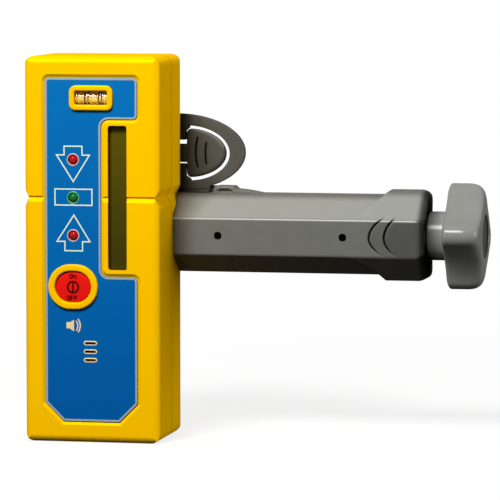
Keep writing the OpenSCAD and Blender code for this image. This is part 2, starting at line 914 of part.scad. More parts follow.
module vial_cradle() {
  w = vial_w + 2 * cradle_lap;
  h = vial_h + 2 * cradle_lap - vial_r;
  color("white") in_case() translate([case_w / 2, 0, vial_z]) difference() {
    translate([-w / 2, case_wall, -h / 2]) cube([w, cradle_t, h]);
    translate([0, vial_y, 0]) rod_x(vial_d, -vial_w / 2, vial_w);
    translate([-vial_w / 2, case_wall - over, -vial_d / 2]) cube([vial_w, over + vial_y - case_wall, vial_d]);
  }
}

module vial_at() in_case() translate([case_w / 2 - vial_l / 2, vial_y, vial_z]) children();

module vial_tube() {
  color("#f2e9a0") vial_at() difference() {
    rod_x(vial_d, 0, vial_l);
    rod_x(vial_d - 2 * vial_wall, -over, vial_l + 2 * over);
  }
}

module vial_plugs() {
  color("#e8c83a") vial_at() for (x = [0, vial_l - plug_t]) rod_x(vial_d - 2 * vial_wall, x, plug_t);
}

// Fluid with the bubble left out near the top
module vial_fluid() {
  top = vial_d / 2 - vial_wall;
  color("#e8b800") vial_at() difference() {
    rod_x(vial_d - 2 * vial_wall, plug_t, vial_l - 2 * plug_t);
    translate([0, 0, top - bubble_d / 2 - fit_gap]) rod_x(bubble_d, (vial_l - bubble_l) / 2, bubble_l);
  }
}

battery_z = bay_z + slide_gap;
battery_y = bay_y + fit_gap;

module battery() {
  top = battery_z + battery_h;
  color("#3a3a3c") in_case() {
    translate([case_w / 2 - battery_w / 2, battery_y, battery_z])
      linear_extrude(battery_h)
        round_rect(battery_w, battery_d, [battery_r, battery_r, battery_r, battery_r]);
    translate([case_w / 2, battery_y + battery_d / 2, top]) {
      translate([-terminal_pitch / 2, 0, 0]) cylinder(d = terminal_plus_d, h = terminal_h);
      translate([terminal_pitch / 2, 0, 0]) cylinder(d = terminal_minus_d, h = terminal_h);
    }
  }
}

snap_w = battery_w - battery_gap;
snap_y = battery_y + (battery_d - snap_d) / 2;

module battery_snap() {
  top = battery_z + battery_h;
  color(black) in_case() difference() {
    translate([case_w / 2 - snap_w / 2, snap_y, top]) cube([snap_w, snap_d, snap_t]);
    translate([case_w / 2, battery_y + battery_d / 2, top - over]) {
      translate([-terminal_pitch / 2, 0, 0])
        cylinder(d = terminal_plus_d + 2 * snap_gap, h = over + terminal_h + fit_gap);
      translate([terminal_pitch / 2, 0, 0])
        cylinder(d = terminal_minus_d + 2 * snap_gap, h = over + terminal_h + fit_gap);
    }
  }
}

module lead_places() {
  for (side = [-1, 1])
    translate([case_w / 2 + side * lead_pitch / 2, 0, battery_z + battery_h + snap_t / 2]) children();
}

module battery_leads() {
  y0 = board_y + board_t;
  color("#8a2020") in_case() lead_places() rod_y(lead_d, y0, snap_y - y0);
}

module battery_door() {
  x0 = case_w / 2 - door_w / 2;
  color(yellow) in_case() difference() {
    union() {
      along_y(case_d - door_t, door_t) translate([x0, hinge_z]) square([door_w, door_top - hinge_z]);
      translate([0, hinge_y, hinge_z]) rod_x(2 * barrel_r, x0, door_w);
    }
    translate([0, hinge_y, hinge_z]) rod_x(door_pin_d + 2 * run_gap, x0 - over, door_w + 2 * over);
    along_y(case_d - door_t / 2, over)
      translate([case_w / 2, door_top]) oblong(notch_grip_w, 4 * notch_grip_d);
  }
}

module door_hinge_pin() {
  l = door_w + 2 * pin_seat;
  color(steel) in_case() translate([0, hinge_y, hinge_z]) rod_x(door_pin_d, case_w / 2 - l / 2, l);
}

// Collar's section, in Y and Z about the arm's axis height
module collar_section() {
  f = arm_face_h / 2;
  h = collar_h / 2;
  s = arm_slant_d - arm_d;
  polygon([[-arm_d, -f], [-arm_d, f], [s, h], [0, h], [0, -h], [s, -h]]);
}

// Collar's outline from the front: a flare on the inner side, and round outer corners
module collar_outline() {
  h = collar_h / 2;
  x0 = collar_x - collar_flare_l;
  upper = [for (s = collar_flare_shares) [x0 + s[0] * collar_flare_l, s[1] * h]];
  lower = [for (i = [len(upper) - 1 : -1 : 0]) [upper[i][0], -upper[i][1]]];
  mid = (upper[len(upper) - 1][0] + collar_x) / 2;
  polygon(concat(upper, [[mid, h], [mid, -h]], lower));
  translate([mid, -h]) round_rect(collar_x - mid, collar_h, [0, collar_r, collar_r, 0]);
}

// Rounding of the collar's outer end seen from above
module collar_plan() {
  l = collar_flare_l;
  translate([collar_x - l, -arm_d]) round_rect(l, arm_d, [0, collar_r, collar_r, 0]);
}

// One V-shaped groove in the front of the collar, a step back from its outer end
module chevron(back) {
  x = collar_x - back;
  polygon([
    [x, 0], [x + chevron_run, chevron_reach], [x + chevron_run + chevron_w, chevron_reach],
    [x + chevron_w, 0], [x + chevron_run + chevron_w, -chevron_reach], [x + chevron_run, -chevron_reach]
  ]);
}

module arm_stop() {
  translate([guard_foot_x + slide_gap, 0, 0]) along_y(guard_y, stop_d)
    polygon(concat([for (s = stop_shares) [s[0] * stop_l, s[1] * stop_h]], [[stop_l, -lip_d], [0, -lip_d]]));
}

module hex_x(af, x0, l) translate([x0, 0, 0]) rotate([0, 90, 0]) cylinder(d = af / cos(30), h = l, $fn = 6);

module at_axis() translate([0, axis_y, arm_zc]) children();

module clamp_arm() {
  color(mid_grey) difference() {
    union() {
      translate([0, 0, arm_zc])
        along_x(arm_x0, collar_x - collar_flare_l / 2 - arm_x0) polygon(arm_section(0, 0));
      translate([0, 0, arm_zc]) intersection() {
        along_x(arm_x0, collar_x - arm_x0) collar_section();
        along_y(-arm_d - over, arm_d + 2 * over) collar_outline();
        translate([0, 0, -collar_h]) linear_extrude(2 * collar_h) collar_plan();
      }
      arm_stop();
    }
    for (side = [-1, 1])
      translate([arm_x0 - over, -case_standoff - lip_t, arm_zc + side * (arm_h / 2) - lip_d])
        cube([rail_l + over + fit_gap, lip_t + fit_gap, 2 * lip_d]);
    translate([arm_x0 - over, -arm_d + arm_wall_front, arm_zc - tunnel_h / 2])
      cube([nut_x0 - arm_x0 + over, tunnel_d, tunnel_h]);
    translate([arm_x0 - over, -arm_wall_back - over, arm_zc - slot_back_h / 2])
      cube([nut_x0 - arm_x0 + over, arm_wall_back + 2 * over, slot_back_h]);
    at_axis() hex_x(nut_af, nut_x0 - over, nut_l + over);
    at_axis() rod_x(collar_bore, nut_x1, collar_x - nut_x1 + over);
    for (s = sight_hole_shares)
      translate([s * collar_x, 0, arm_zc]) rod_y(sight_hole_d, -arm_d - over, arm_wall_front + 2 * over);
    translate([0, 0, arm_zc]) along_y(-arm_d - over, over + chevron_d)
      for (s = chevron_back_shares) chevron(s * collar_flare_l);
    jaw_screw_places() rod_y(jaw_screw_d, flange_t - jaw_screw_l, jaw_screw_l + over);
    guard_screw_places() translate([0, 0, guard_flange_t - guard_screw_l])
      cylinder(d = guard_screw_d, h = guard_screw_l + over);
  }
}

module arm_end_cap() {
  color(black) {
    translate([0, 0, arm_zc]) along_x(arm_x0 - cap_t, cap_t) difference() {
      polygon(arm_section(0, 0));
      for (side = [-1, 1])
        translate([-case_standoff - lip_t / 2 + fit_gap / 2, side * arm_h / 2])
          square([lip_t + fit_gap, 2 * lip_d], center = true);
    }
    translate([arm_x0, -arm_d + arm_wall_front + fit_gap, arm_zc - tunnel_h / 2 + fit_gap])
      cube([cap_spigot, tunnel_d - 2 * fit_gap, tunnel_h - 2 * fit_gap]);
  }
}

module jaw_screw_places() {
  for (side = [-1, 1])
    translate([-pad_t - jaw_t - flange_l / 2, 0, arm_zc + side * jaw_screw_up]) children();
}

// Jaw with a sloping outer face, from the pad's seat away to the other side, behind a depth
module jaw_plan(y0) {
  tip_share = 0.62;
  polygon([[0, y0], [0, jaw_d], [jaw_t * tip_share, jaw_d], [jaw_t, jaw_d * tip_share], [jaw_t, y0]]);
}

module fixed_jaw() {
  color(mid_grey) difference() {
    translate([0, 0, arm_zc - jaw_h / 2]) union() {
      translate([-pad_t, 0, 0]) mirror([1, 0, 0]) linear_extrude(jaw_h) jaw_plan(0);
      translate([-pad_t - jaw_t - flange_l, 0, -jaw_screw_up / 4])
        cube([flange_l + jaw_t / 2, flange_t, jaw_h + jaw_screw_up / 2]);
    }
    jaw_screw_places() rod_y(jaw_screw_d + 2 * fit_gap, -over, flange_t + 2 * over);
    jaw_screw_places() rod_y(jaw_screw_head_d + 2 * fit_gap, flange_t / 2, over);
  }
}

module fixed_jaw_screws() {
  color(steel) jaw_screw_places() {
    rod_y(jaw_screw_d, flange_t - jaw_screw_l, jaw_screw_l - flange_t / 2);
    rod_y(jaw_screw_head_d, flange_t / 2, flange_t / 2);
  }
}

// Ribbed rubber pad from a face at x, of the pad's thickness
module jaw_pad(x) {
  h = jaw_h - 2 * pad_margin;
  translate([x, 2 * pad_margin, arm_zc - h / 2]) cube([pad_t, jaw_d - 3 * pad_margin, h]);
}

module fixed_jaw_pad() color(black) jaw_pad(-pad_t);

module sliding_jaw_pad() color(black) jaw_pad(rod_gap);

module sliding_jaw() {
  y0 = -arm_d + arm_wall_front + slide_gap;
  h = tunnel_h - 2 * slide_gap;
  color(mid_grey) difference() {
    union() {
      translate([jaw_x, 0, arm_zc - jaw_h / 2]) linear_extrude(jaw_h) jaw_plan(slide_gap);
      translate([jaw_x + neck_inset, -arm_wall_back - over, arm_zc - neck_h / 2])
        cube([jaw_t - 2 * neck_inset, arm_wall_back + 2 * over, neck_h]);
      translate([carriage_x, y0, arm_zc - h / 2]) cube([carriage_l, tunnel_d - 2 * slide_gap, h]);
    }
    at_axis() rod_x(journal_d + 2 * run_gap, carriage_x - over, carriage_l + 2 * over);
    at_axis() rod_x(pocket_d, carriage_x - over, over + clip_back);
  }
}

module thrust_washer() {
  color(steel) at_axis() difference() {
    rod_x(washer_d, carriage_x1, washer_t);
    rod_x(journal_d + 2 * run_gap, carriage_x1 - over, washer_t + 2 * over);
  }
}

clip_x = carriage_x + clip_back - clip_t - fit_gap;

module clamp_screw() {
  tail = clip_x - journal_tail;
  shoulder = carriage_x1 + washer_t + run_gap;
  color(steel) at_axis() difference() {
    union() {
      rod_x(journal_d, tail, shoulder - tail);
      rod_x(screw_d, shoulder, knob_x + screw_seat - shoulder);
    }
    difference() {
      rod_x(screw_d, clip_x, clip_t);
      rod_x(clip_groove_d, clip_x - over, clip_t + 2 * over);
    }
    knob_pin_bore();
  }
}

module screw_clip() {
  color(steel) at_axis() difference() {
    rod_x(clip_d, clip_x, clip_t);
    rod_x(clip_groove_d, clip_x - over, clip_t + 2 * over);
  }
}

module clamp_nut() {
  color("#c9a24a") at_axis() difference() {
    hex_x(nut_af - fit_gap, nut_x0, nut_l);
    rod_x(screw_d + 2 * run_gap, nut_x0 - over, nut_l + 2 * over);
  }
}

module knob_pin_bore() {
  translate([roll_pin_x, 0, -hub_d]) cylinder(d = roll_pin_d, h = 2 * hub_d);
}

// Lobed outline of the knob, with one lobe straight up
module knob_outline() {
  r1 = knob_d / 2;
  r0 = valley_share * r1;
  polygon([for (i = [0 : lobe_steps - 1])
    let(a = 360 * i / lobe_steps, r = (r1 + r0) / 2 + (r1 - r0) / 2 * cos(lobe_count * a))
    [r * sin(a), r * cos(a)]]);
}

module clamp_knob() {
  color(mid_grey) at_axis() difference() {
    union() {
      rod_x(hub_d, hub_x, knob_x - hub_x + knob_t / 2);
      intersection() {
        along_x(knob_x, knob_t) knob_outline();
        translate([knob_x, 0, 0]) rotate([0, 90, 0])
          rotate_extrude() round_rect(knob_d / 2, knob_t, [0, knob_in_r, knob_out_r, 0]);
      }
    }
    rod_x(screw_d, hub_x - over, knob_x + screw_seat - hub_x + over);
    rod_x(knob_recess_d, knob_x + knob_t - knob_recess_t, over);
    knob_pin_bore();
  }
}

module knob_pin() {
  l = hub_d - 2 * pad_margin;
  color(steel) at_axis() translate([roll_pin_x, 0, -l / 2]) cylinder(d = roll_pin_d, h = l);
}

module knob_cap() {
  color(dark_grey) at_axis()
    rod_x(knob_recess_d - 2 * fit_gap, knob_x + knob_t - knob_recess_t, cap_plate_t);
}

// D-shaped outline in X and Z: half an ellipse on a straight side at x0
function half_ellipse(cx, cz, a, b) = [
  for (i = [0 : 2 * turn_steps])
    let(t = 90 * i / turn_steps - 90)
    [cx + a * cos(t), cz + b * sin(t)]
];

module d_outline(cx, cz, a, b, x0) {
  polygon(concat(half_ellipse(cx, cz, a, b), [[x0, cz + b], [x0, cz - b]]));
}

module guard_screw_places() {
  for (s = guard_screw_shares) translate([s * guard_left, guard_screw_y, 0]) children();
}

module at_pivot() translate([pivot_x, pivot_y, 0]) children();

barrel_z0 = tab_mid - neck_tab_h / 2 + spring_room;
barrel_z1 = tab_mid + neck_tab_h / 2;
window_z0 = tab_mid - neck_tab_h / 2 - tab_gap;
window_z1 = tab_mid + neck_tab_h / 2 + tab_gap;

module latch_guard() {
  b = guard_h - guard_mid;
  color(dark_grey) difference() {
    union() {
      along_y(guard_y, guard_t) {
        d_outline(guard_cx, guard_mid, guard_reach - case_gap - guard_cx, b, guard_left);
        translate([guard_left, 0]) square([guard_foot_x - guard_left, guard_mid]);
      }
      translate([guard_left, guard_y, 0]) cube([guard_foot_x - guard_left, -guard_y, guard_flange_t]);
      at_pivot() for (z = [window_z0 - boss_h, window_z1])
        translate([0, 0, z]) cylinder(r = pivot_r, h = boss_h);
    }
    along_y(guard_y - over, guard_t + 2 * over) {
      d_outline(tab_cx, tab_mid, tab_a + tab_gap, tab_b + tab_gap, tab_cx - tab_gap);
      translate([pivot_x - pivot_r - tab_gap, window_z0])
        square([tab_cx - pivot_x + pivot_r + tab_gap, window_z1 - window_z0]);
    }
    at_pivot() translate([0, 0, window_z0 - boss_h])
      cylinder(d = latch_pin_d, h = window_z1 - window_z0 + 2 * boss_h);
    guard_screw_places() cylinder(d = guard_screw_d + 2 * fit_gap, h = 2 * over, center = true);
  }
}

module guard_screws() {
  color(steel) guard_screw_places() {
    translate([0, 0, guard_flange_t - guard_screw_l]) cylinder(d = guard_screw_d, h = guard_screw_l);
    translate([0, 0, guard_flange_t]) cylinder(d = guard_head_d, h = guard_head_t);
  }
}

module release_tab() {
  color(dark_grey) difference() {
    union() {
      along_y(tab_y, tab_t) {
        d_outline(tab_cx, tab_mid, tab_a, tab_b, tab_cx);
        translate([pivot_x, barrel_z0]) square([tab_cx - pivot_x + tab_gap, barrel_z1 - barrel_z0]);
      }
      at_pivot() translate([0, 0, barrel_z0]) cylinder(r = pivot_r, h = barrel_z1 - barrel_z0);
      latch_pocket(0, -case_standoff - nose_in, tab_y + tab_t / 2);
    }
    at_pivot() translate([0, 0, -over]) cylinder(d = latch_pin_d + 2 * run_gap, h = guard_h + 2 * over);
    for (i = [0 : len(rib_shares) - 1])
      translate([tab_cx + rib_shares[i] * tab_a, 0, tab_mid]) intersection() {
        translate([rib_r, 0, 0]) difference() {
          rod_y(2 * rib_r + rib_w, tab_y - over, over + rib_d);
          rod_y(2 * rib_r - rib_w, tab_y - 2 * over, 4 * over);
        }
        translate([-rib_w, tab_y - over, -rib_h_shares[i] * tab_b])
          cube([4 * rib_w, 2 * over, 2 * rib_h_shares[i] * tab_b]);
      }
  }
}

module latch_pin() {
  color(steel) at_pivot() translate([0, 0, window_z0 - boss_h])
    cylinder(d = latch_pin_d, h = window_z1 - window_z0 + 2 * boss_h);
}

// Torsion spring round the latch pin: a helix swept by a small ring
module latch_spring() {
  steps = spring_turns * turn_steps;
  rise = (spring_room + tab_gap - spring_wire - slide_gap) / steps;
  ring = [for (k = [0 : ring_steps - 1]) 360 * k / ring_steps];
  points = [for (i = [0 : steps]) let(t = 360 * i / turn_steps) for (a = ring)
    let(r = spring_r + spring_wire / 2 * cos(a))
    [r * cos(t), r * sin(t), rise * i + spring_wire / 2 * sin(a)]];
  sides = [for (i = [0 : steps - 1]) for (k = [0 : ring_steps - 1])
    let(n = (k + 1) % ring_steps, p = i * ring_steps, q = p + ring_steps) [p + k, q + k, q + n, p + n]];
  first = [for (k = [0 : ring_steps - 1]) k];
  last = [for (k = [ring_steps - 1 : -1 : 0]) steps * ring_steps + k];
  color(steel) at_pivot() translate([0, 0, window_z0 + (spring_wire + slide_gap) / 2])
    polyhedron(points, concat(sides, [first, last]));
}

front_shell();
rear_shell();
case_gasket();
case_screws();
front_label();
window_seal();
window_filter();
photodiodes();
sensor_board();
sensor_headers();
main_board();
board_screws();
processor_chip();
high_lamp();
on_grade_lamp();
low_lamp();
power_button();
switch_plunger();
power_switch();
buzzer();
buzzer_gasket();
vial_cradle();
vial_tube();
vial_fluid();
vial_plugs();
battery();
battery_snap();
battery_leads();
battery_door();
door_hinge_pin();
clamp_arm();
arm_end_cap();
fixed_jaw();
fixed_jaw_screws();
fixed_jaw_pad();
sliding_jaw();
sliding_jaw_pad();
thrust_washer();
clamp_screw();
screw_clip();
clamp_nut();
clamp_knob();
knob_pin();
knob_cap();
latch_guard();
guard_screws();
release_tab();
latch_pin();
latch_spring();
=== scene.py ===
# %% [markdown]
# # A laser receiver on its rod clamp
#
# The real object is a yellow moulded case that finds the plane of a levelling laser. A grey clamp holds it
# on a grade rod. The CAD model gives every solid its true size and place, so this lesson only dresses it:
# some solids keep their shape and get a finish, and others are drawn again as smooth surfaces made with
# numpy.

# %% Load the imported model
import math

import bmesh
import bpy
import numpy as np
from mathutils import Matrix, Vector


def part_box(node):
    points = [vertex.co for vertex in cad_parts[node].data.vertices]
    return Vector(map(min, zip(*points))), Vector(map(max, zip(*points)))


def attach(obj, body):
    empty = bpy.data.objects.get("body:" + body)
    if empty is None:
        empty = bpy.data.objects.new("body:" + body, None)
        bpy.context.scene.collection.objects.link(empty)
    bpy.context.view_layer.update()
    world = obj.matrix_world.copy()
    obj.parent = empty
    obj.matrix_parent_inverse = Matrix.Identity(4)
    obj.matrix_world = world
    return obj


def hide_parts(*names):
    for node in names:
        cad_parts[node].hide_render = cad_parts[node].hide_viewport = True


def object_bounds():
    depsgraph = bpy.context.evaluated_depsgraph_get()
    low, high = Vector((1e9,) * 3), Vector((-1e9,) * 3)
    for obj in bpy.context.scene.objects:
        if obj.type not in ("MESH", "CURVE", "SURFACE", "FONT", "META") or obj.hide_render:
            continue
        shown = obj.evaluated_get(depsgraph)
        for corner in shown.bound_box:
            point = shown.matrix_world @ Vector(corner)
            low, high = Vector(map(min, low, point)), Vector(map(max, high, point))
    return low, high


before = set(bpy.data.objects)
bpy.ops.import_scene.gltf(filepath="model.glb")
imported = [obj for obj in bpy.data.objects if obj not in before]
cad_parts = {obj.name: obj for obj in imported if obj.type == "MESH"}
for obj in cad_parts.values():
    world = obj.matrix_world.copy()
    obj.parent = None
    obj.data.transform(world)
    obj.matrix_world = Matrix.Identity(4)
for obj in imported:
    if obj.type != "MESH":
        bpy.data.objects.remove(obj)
cad_low, cad_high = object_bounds()
MM, TO_MM = 0.001, 1000


def spans(low, high):
    """Width, depth and height in rounded mm of a box given in metres."""
    return [round(TO_MM * (b - a), 1) for a, b in zip(low, high)]


print("CAD box in mm", spans(cad_low, cad_high))

# %% [markdown]
# ## Tools: colours, nodes, meshes and paths
#
# Every piece is written in millimetres, because the sizes of the real object are known that way, and turned
# into metres once, when its mesh is made. Only the camera, the lamps and the floor are placed in metres. A
# colour is written as an sRGB hex value and turned to linear light once. Shapes could be modelled by hand
# or with bmesh steps, but a shape written as a formula can be measured and changed later, so each piece is
# a grid of points: rows follow one parameter, columns the other.

# %% Colours and nodes
def linear(colour):
    """Linear RGBA of an sRGB hex colour: the low end is divided, the rest follows the 2.4 power curve."""
    srgb = np.array([int(colour[i:i + 2], 16) for i in (1, 3, 5)]) / 255
    rgb = np.where(srgb <= 0.04045, srgb / 12.92, ((srgb + 0.055) / 1.055) ** 2.4)
    return (*rgb.tolist(), 1.0)


def add(tree, kind, inputs=(), **settings):
    """Adds one node with its settings, and gives each input a value or a link from another node's
    output."""
    made = tree.nodes.new(kind)
    for key, value in settings.items():
        setattr(made, key, value)
    for socket, value in dict(inputs).items():
        if isinstance(value, bpy.types.NodeSocket):
            tree.links.new(value, made.inputs[socket])
        else:
            made.inputs[socket].default_value = value
    return made


WHITE = linear("#ffffff")
print("white is", WHITE)

# %% Pieces from grids of points
JOIN = 2e-7


def piece(name, grids, finish, body, stands_for=(), sharp=34):
    """One mesh piece from grids of points in mm. Each point is joined to its neighbours in the next row and
    the next column; the columns always close into a ring, the rows only where the grid says so, and a row
    that shrinks to one point closes an end. Doubled points are merged, faces are turned outwards, and an
    edge that bends by more than the sharp angle in degrees stays sharp."""
    points, quads, first = [], [], 0
    for grid, ring in grids:
        rows, cols = grid.shape[:2]
        i, j = np.meshgrid(np.arange(rows if ring else rows - 1), np.arange(cols), indexing="ij")
        up, on = (i + 1) % rows, (j + 1) % cols
        corners = [i * cols + j, up * cols + j, up * cols + on, i * cols + on]
        quads.append(first + np.stack(corners, -1).reshape(-1, 4))
        points.append(grid.reshape(-1, 3) * MM)
        first += rows * cols
    mesh = bpy.data.meshes.new(name)
    mesh.from_pydata(np.concatenate(points).tolist(), [], np.concatenate(quads).tolist())
    shape = bmesh.new()
    shape.from_mesh(mesh)
    bmesh.ops.remove_doubles(shape, verts=shape.verts, dist=JOIN)
    bmesh.ops.dissolve_degenerate(shape, edges=shape.edges, dist=JOIN)
    bmesh.ops.recalc_face_normals(shape, faces=shape.faces)
    shape.to_mesh(mesh)
    shape.free()
    mesh.shade_smooth()
    mesh.set_sharp_from_angle(angle=math.radians(sharp))
    mesh.materials.append(finish)
    thing = bpy.data.objects.new(name, mesh)
    bpy.context.scene.collection.objects.link(thing)
    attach(thing, body)
    if stands_for:
        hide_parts(*stands_for)
    print(name, len(mesh.vertices), "points,", len(mesh.polygons), "faces")
    return thing


print("points closer than", JOIN / MM, "mm are merged")

# %% Paths
def rounded_path(corners, radii, closed=True, steps=9):
    """Path round the corners, each one an arc. The arc is a rational quadratic curve from where the circle
    touches the first side to where it touches the second, pulled to the corner with the weight sine of half
    its angle."""
    c = np.array(corners, float)
    before, at, after = (np.roll(c, 1, 0), c, np.roll(c, -1, 0)) if closed else (c[:-2], c[1:-1], c[2:])
    back, on = before - at, after - at
    back /= np.linalg.norm(back, axis=1, keepdims=True)
    on /= np.linalg.norm(on, axis=1, keepdims=True)
    half = np.arccos(np.clip((back * on).sum(1), -1, 1)) / 2
    touch = (np.broadcast_to(radii, half.shape) / np.tan(half))[:, None]
    s = np.linspace(0, 1, steps)[None, :, None]
    w = np.sin(half)[:, None, None]
    a, b = (at + back * touch)[:, None], (at + on * touch)[:, None]
    top = (1 - s) ** 2 * a + 2 * w * s * (1 - s) * at[:, None] + s ** 2 * b
    arcs = (top / ((1 - s) ** 2 + 2 * w * s * (1 - s) + s ** 2)).reshape(-1, 2)
    return arcs if closed else np.concatenate([c[:1], arcs, c[-1:]])


def box_path(x0, z0, x1, z1, r):
    """Anticlockwise rectangle with round corners."""
    return rounded_path([(x0, z0), (x1, z0), (x1, z1), (x0, z1)], r)


def box_round(centre, half, r):
    """The same rectangle from its middle and half its width and height."""
    (x, z), (w, h) = centre, half
    return box_path(x - w, z - h, x + w, z + h, r)


def lengths(path):
    """Length of a path from its start up to each of its points."""
    return np.concatenate([[0], np.cumsum(np.linalg.norm(np.diff(path, axis=0), axis=1))])


def at_lengths(path, shares):
    """Points of a path at shares of its length, by straight interpolation between its own points."""
    run = lengths(path)
    return np.stack([np.interp(np.asarray(shares) * run[-1], run, path[:, k]) for k in (0, 1)], -1)


def evenly(path, count):
    """So many points at even distances round a closed path."""
    return at_lengths(np.concatenate([path, path[:1]]), np.linspace(0, 1, count, endpoint=False))


def mitre(path, closed=True):
    """Sideways vector at each point: the sum of the two neighbouring normals over one plus their product,
    so that a line moved along it stays at the same distance from both segments. It points out of a path
    that runs anticlockwise."""
    step = np.roll(path, -1, 0) - path
    step /= np.maximum(np.linalg.norm(step, axis=1, keepdims=True), 1e-9)
    ahead = np.stack([step[:, 1], -step[:, 0]], 1)
    if not closed:
        ahead[-1] = ahead[-2]
    behind = np.roll(ahead, 1, 0)
    if not closed:
        behind[0] = ahead[0]
    return (ahead + behind) / (1 + (ahead * behind).sum(1, keepdims=True))


print("a square with round corners has", len(box_path(0, 0, 10, 10, 2)), "points")

# %% Steps, turns and grids
def smooth(t):
    """Smooth step from 0 to 1: three t squared less two t cubed."""
    t = np.clip(t, 0, 1)
    return t * t * (3 - 2 * t)


def full_turn(sides):
    """Angles of so many even steps round a circle."""
    return np.linspace(0, 2 * np.pi, sides, endpoint=False)


def quarter_turn(steps):
    """Angles from zero to a right angle."""
    return np.linspace(0, np.pi / 2, steps)


def standing(flat, depth):
    """Points of the front view, given as x and z, set at a depth y that is one value or one for each
    point."""
    return np.stack([flat[..., 0], np.broadcast_to(depth, flat.shape[:-1]), flat[..., 1]], -1)


def capped(grid):
    """Grid with one more row at each end, drawn together to the middle of that end."""
    ends = grid[[0, -1]].mean(1, keepdims=True).repeat(grid.shape[1], 1)
    return np.concatenate([ends[:1], grid, ends[1:]])


print("half way along, the smooth step is at", smooth(0.5))

# %% Solids from paths and profiles
def carry(path, profile, closed=True):
    """Profile of (offset, depth) points carried along a path in the front plane. Open ends shrink to a
    point."""
    profile = np.asarray(profile, float)
    flat = path[:, None] + mitre(path, closed)[:, None] * profile[None, :, :1]
    grid = standing(flat, profile[:, 1])
    return (grid, True) if closed else (capped(grid), False)


def turned(profile, centre, axis, sides):
    """Profile of (radius, place along the axis) points turned round an axis through the centre."""
    a = full_turn(sides)
    r, along = np.asarray(profile, float).T[:, :, None]
    u, v = np.delete(np.arange(3), axis)
    grid = np.empty((r.shape[0], sides, 3))
    grid[..., axis] = along + 0 * a
    grid[..., u] = centre[0] + r * np.cos(a)
    grid[..., v] = centre[1] + r * np.sin(a)
    return grid, False


def rod(r, low, high, centre, axis, sides):
    """Round rod between two places along its axis."""
    return turned([(0, low), (r, low), (r, high), (0, high)], centre, axis, sides)


def pipe(bore, r, low, high, centre, axis, sides):
    """Round pipe between two places along its axis."""
    return turned([(bore, low), (r, low), (r, high), (bore, high)], centre, axis, sides)[0], True


def prism(path, low, high, edge, axes, steps=5):
    """Straight solid on a closed outline, with its end edges rounded: near an end the outline moves inwards
    by edge times one minus the cosine while it climbs by edge times the sine, and a point in the middle
    closes it."""
    turn = quarter_turn(steps)
    inset = np.concatenate([edge * (1 - np.sin(turn)), edge * (1 - np.cos(turn))])
    height = np.concatenate([low + edge * (1 - np.cos(turn)), high - edge * (1 - np.sin(turn))])
    flat = path[None] - mitre(path)[None] * inset[:, None, None]
    grid = np.empty((len(height), len(path), 3))
    grid[..., axes[0]] = flat[..., 0]
    grid[..., axes[1]] = flat[..., 1]
    grid[..., axes[2]] = height[:, None]
    return capped(grid), False


print("a round rod has", rod(1, 0, 1, (0, 0), 0, 24)[0].shape[:2], "rows and columns")

# %% [markdown]
# ## The camera
#
# The photograph was taken with a long lens from a little to the right and above, so the case shows its
# right side and the arm its top. The place and the turn were worked out from the corners of the case and
# the ends of the arm.

# %% Camera
CAMERA_AT = (0.33092, -1.49674, 0.10327)
CAMERA_DIP, CAMERA_SWING = 0.08255, 0.20321
lens = bpy.data.cameras.new("camera")
lens.lens, lens.sensor_width = 278.8, 36
lens.clip_end = 100
camera = bpy.data.objects.new("camera", lens)
camera.location = CAMERA_AT
camera.rotation_euler = (math.pi / 2 - CAMERA_DIP, 0, CAMERA_SWING)
bpy.context.scene.collection.objects.link(camera)
bpy.context.scene.camera = camera
bpy.context.scene.view_settings.view_transform = "Standard"
print("camera at", tuple(camera.location))

# %% [markdown]
# ## Light and floor
#
# The object was lit in a white studio: one soft lamp from the left in front, a stronger one above it, one
# on the right and one behind that only lights the back. Little comes from below, so undersides go almost
# black. The floor is white for the camera and in reflections, and dark for scattered light. It fades into
# plain white away from the object, where the world takes over.

# %% Studio lamps
def softbox(name, place, aim, width, height, watts):
    """Rectangular lamp at a place, turned to face a point, with its sizes in metres."""
    lamp = bpy.data.lights.new(name, "AREA")
    lamp.shape, lamp.size, lamp.size_y, lamp.energy = "RECTANGLE", width, height, watts
    thing = bpy.data.objects.new(name, lamp)
    thing.location = place
    gaze = np.array(aim) - np.array(place)
    thing.rotation_euler = (math.acos(-gaze[2] / np.linalg.norm(gaze)), 0, math.atan2(-gaze[0], gaze[1]))
    bpy.context.scene.collection.objects.link(thing)


softbox("key_lamp", (-0.24, -0.92, 0.42), (-0.03, -0.05, -0.01), 0.18, 0.12, 0.7)
softbox("top_lamp", (-0.15, -0.73, 0.73), (0.02, -0.02, 0.0), 0.34, 0.30, 14.2)
softbox("side_lamp", (0.94, 0.06, 0.14), (0.0, -0.03, 0.0), 0.5, 0.5, 4.5)
softbox("back_lamp", (-0.72, 0.88, 0.30), (0.02, 0.0, -0.01), 0.4, 0.4, 8.0)

# %% World
SCATTERED, SHOWN = 0.05, 1.0


def seen_directly(tree):
    """Output that is 1 for a ray that shows an image, straight, in a gloss or through glass, and 0 for
    scattered light: the greatest of three flags."""
    rays = add(tree, "ShaderNodeLightPath").outputs
    first_two = {0: rays["Is Camera Ray"], 1: rays["Is Glossy Ray"]}
    seen = add(tree, "ShaderNodeMath", first_two, operation="MAXIMUM").outputs[0]
    with_last = {0: seen, 1: rays["Is Transmission Ray"]}
    return add(tree, "ShaderNodeMath", with_last, operation="MAXIMUM").outputs[0]


sky = bpy.data.worlds.new("studio")
bpy.context.scene.world = sky
sky.use_nodes = True
tree = sky.node_tree
level = add(tree, "ShaderNodeMapRange", {"Value": seen_directly(tree), "To Min": SCATTERED, "To Max": SHOWN})
tree.links.new(level.outputs[0], tree.nodes["Background"].inputs["Strength"])
tree.nodes["Background"].inputs["Color"].default_value = WHITE
print("world at", SHOWN, "where it is seen and", SCATTERED, "for scattered light")

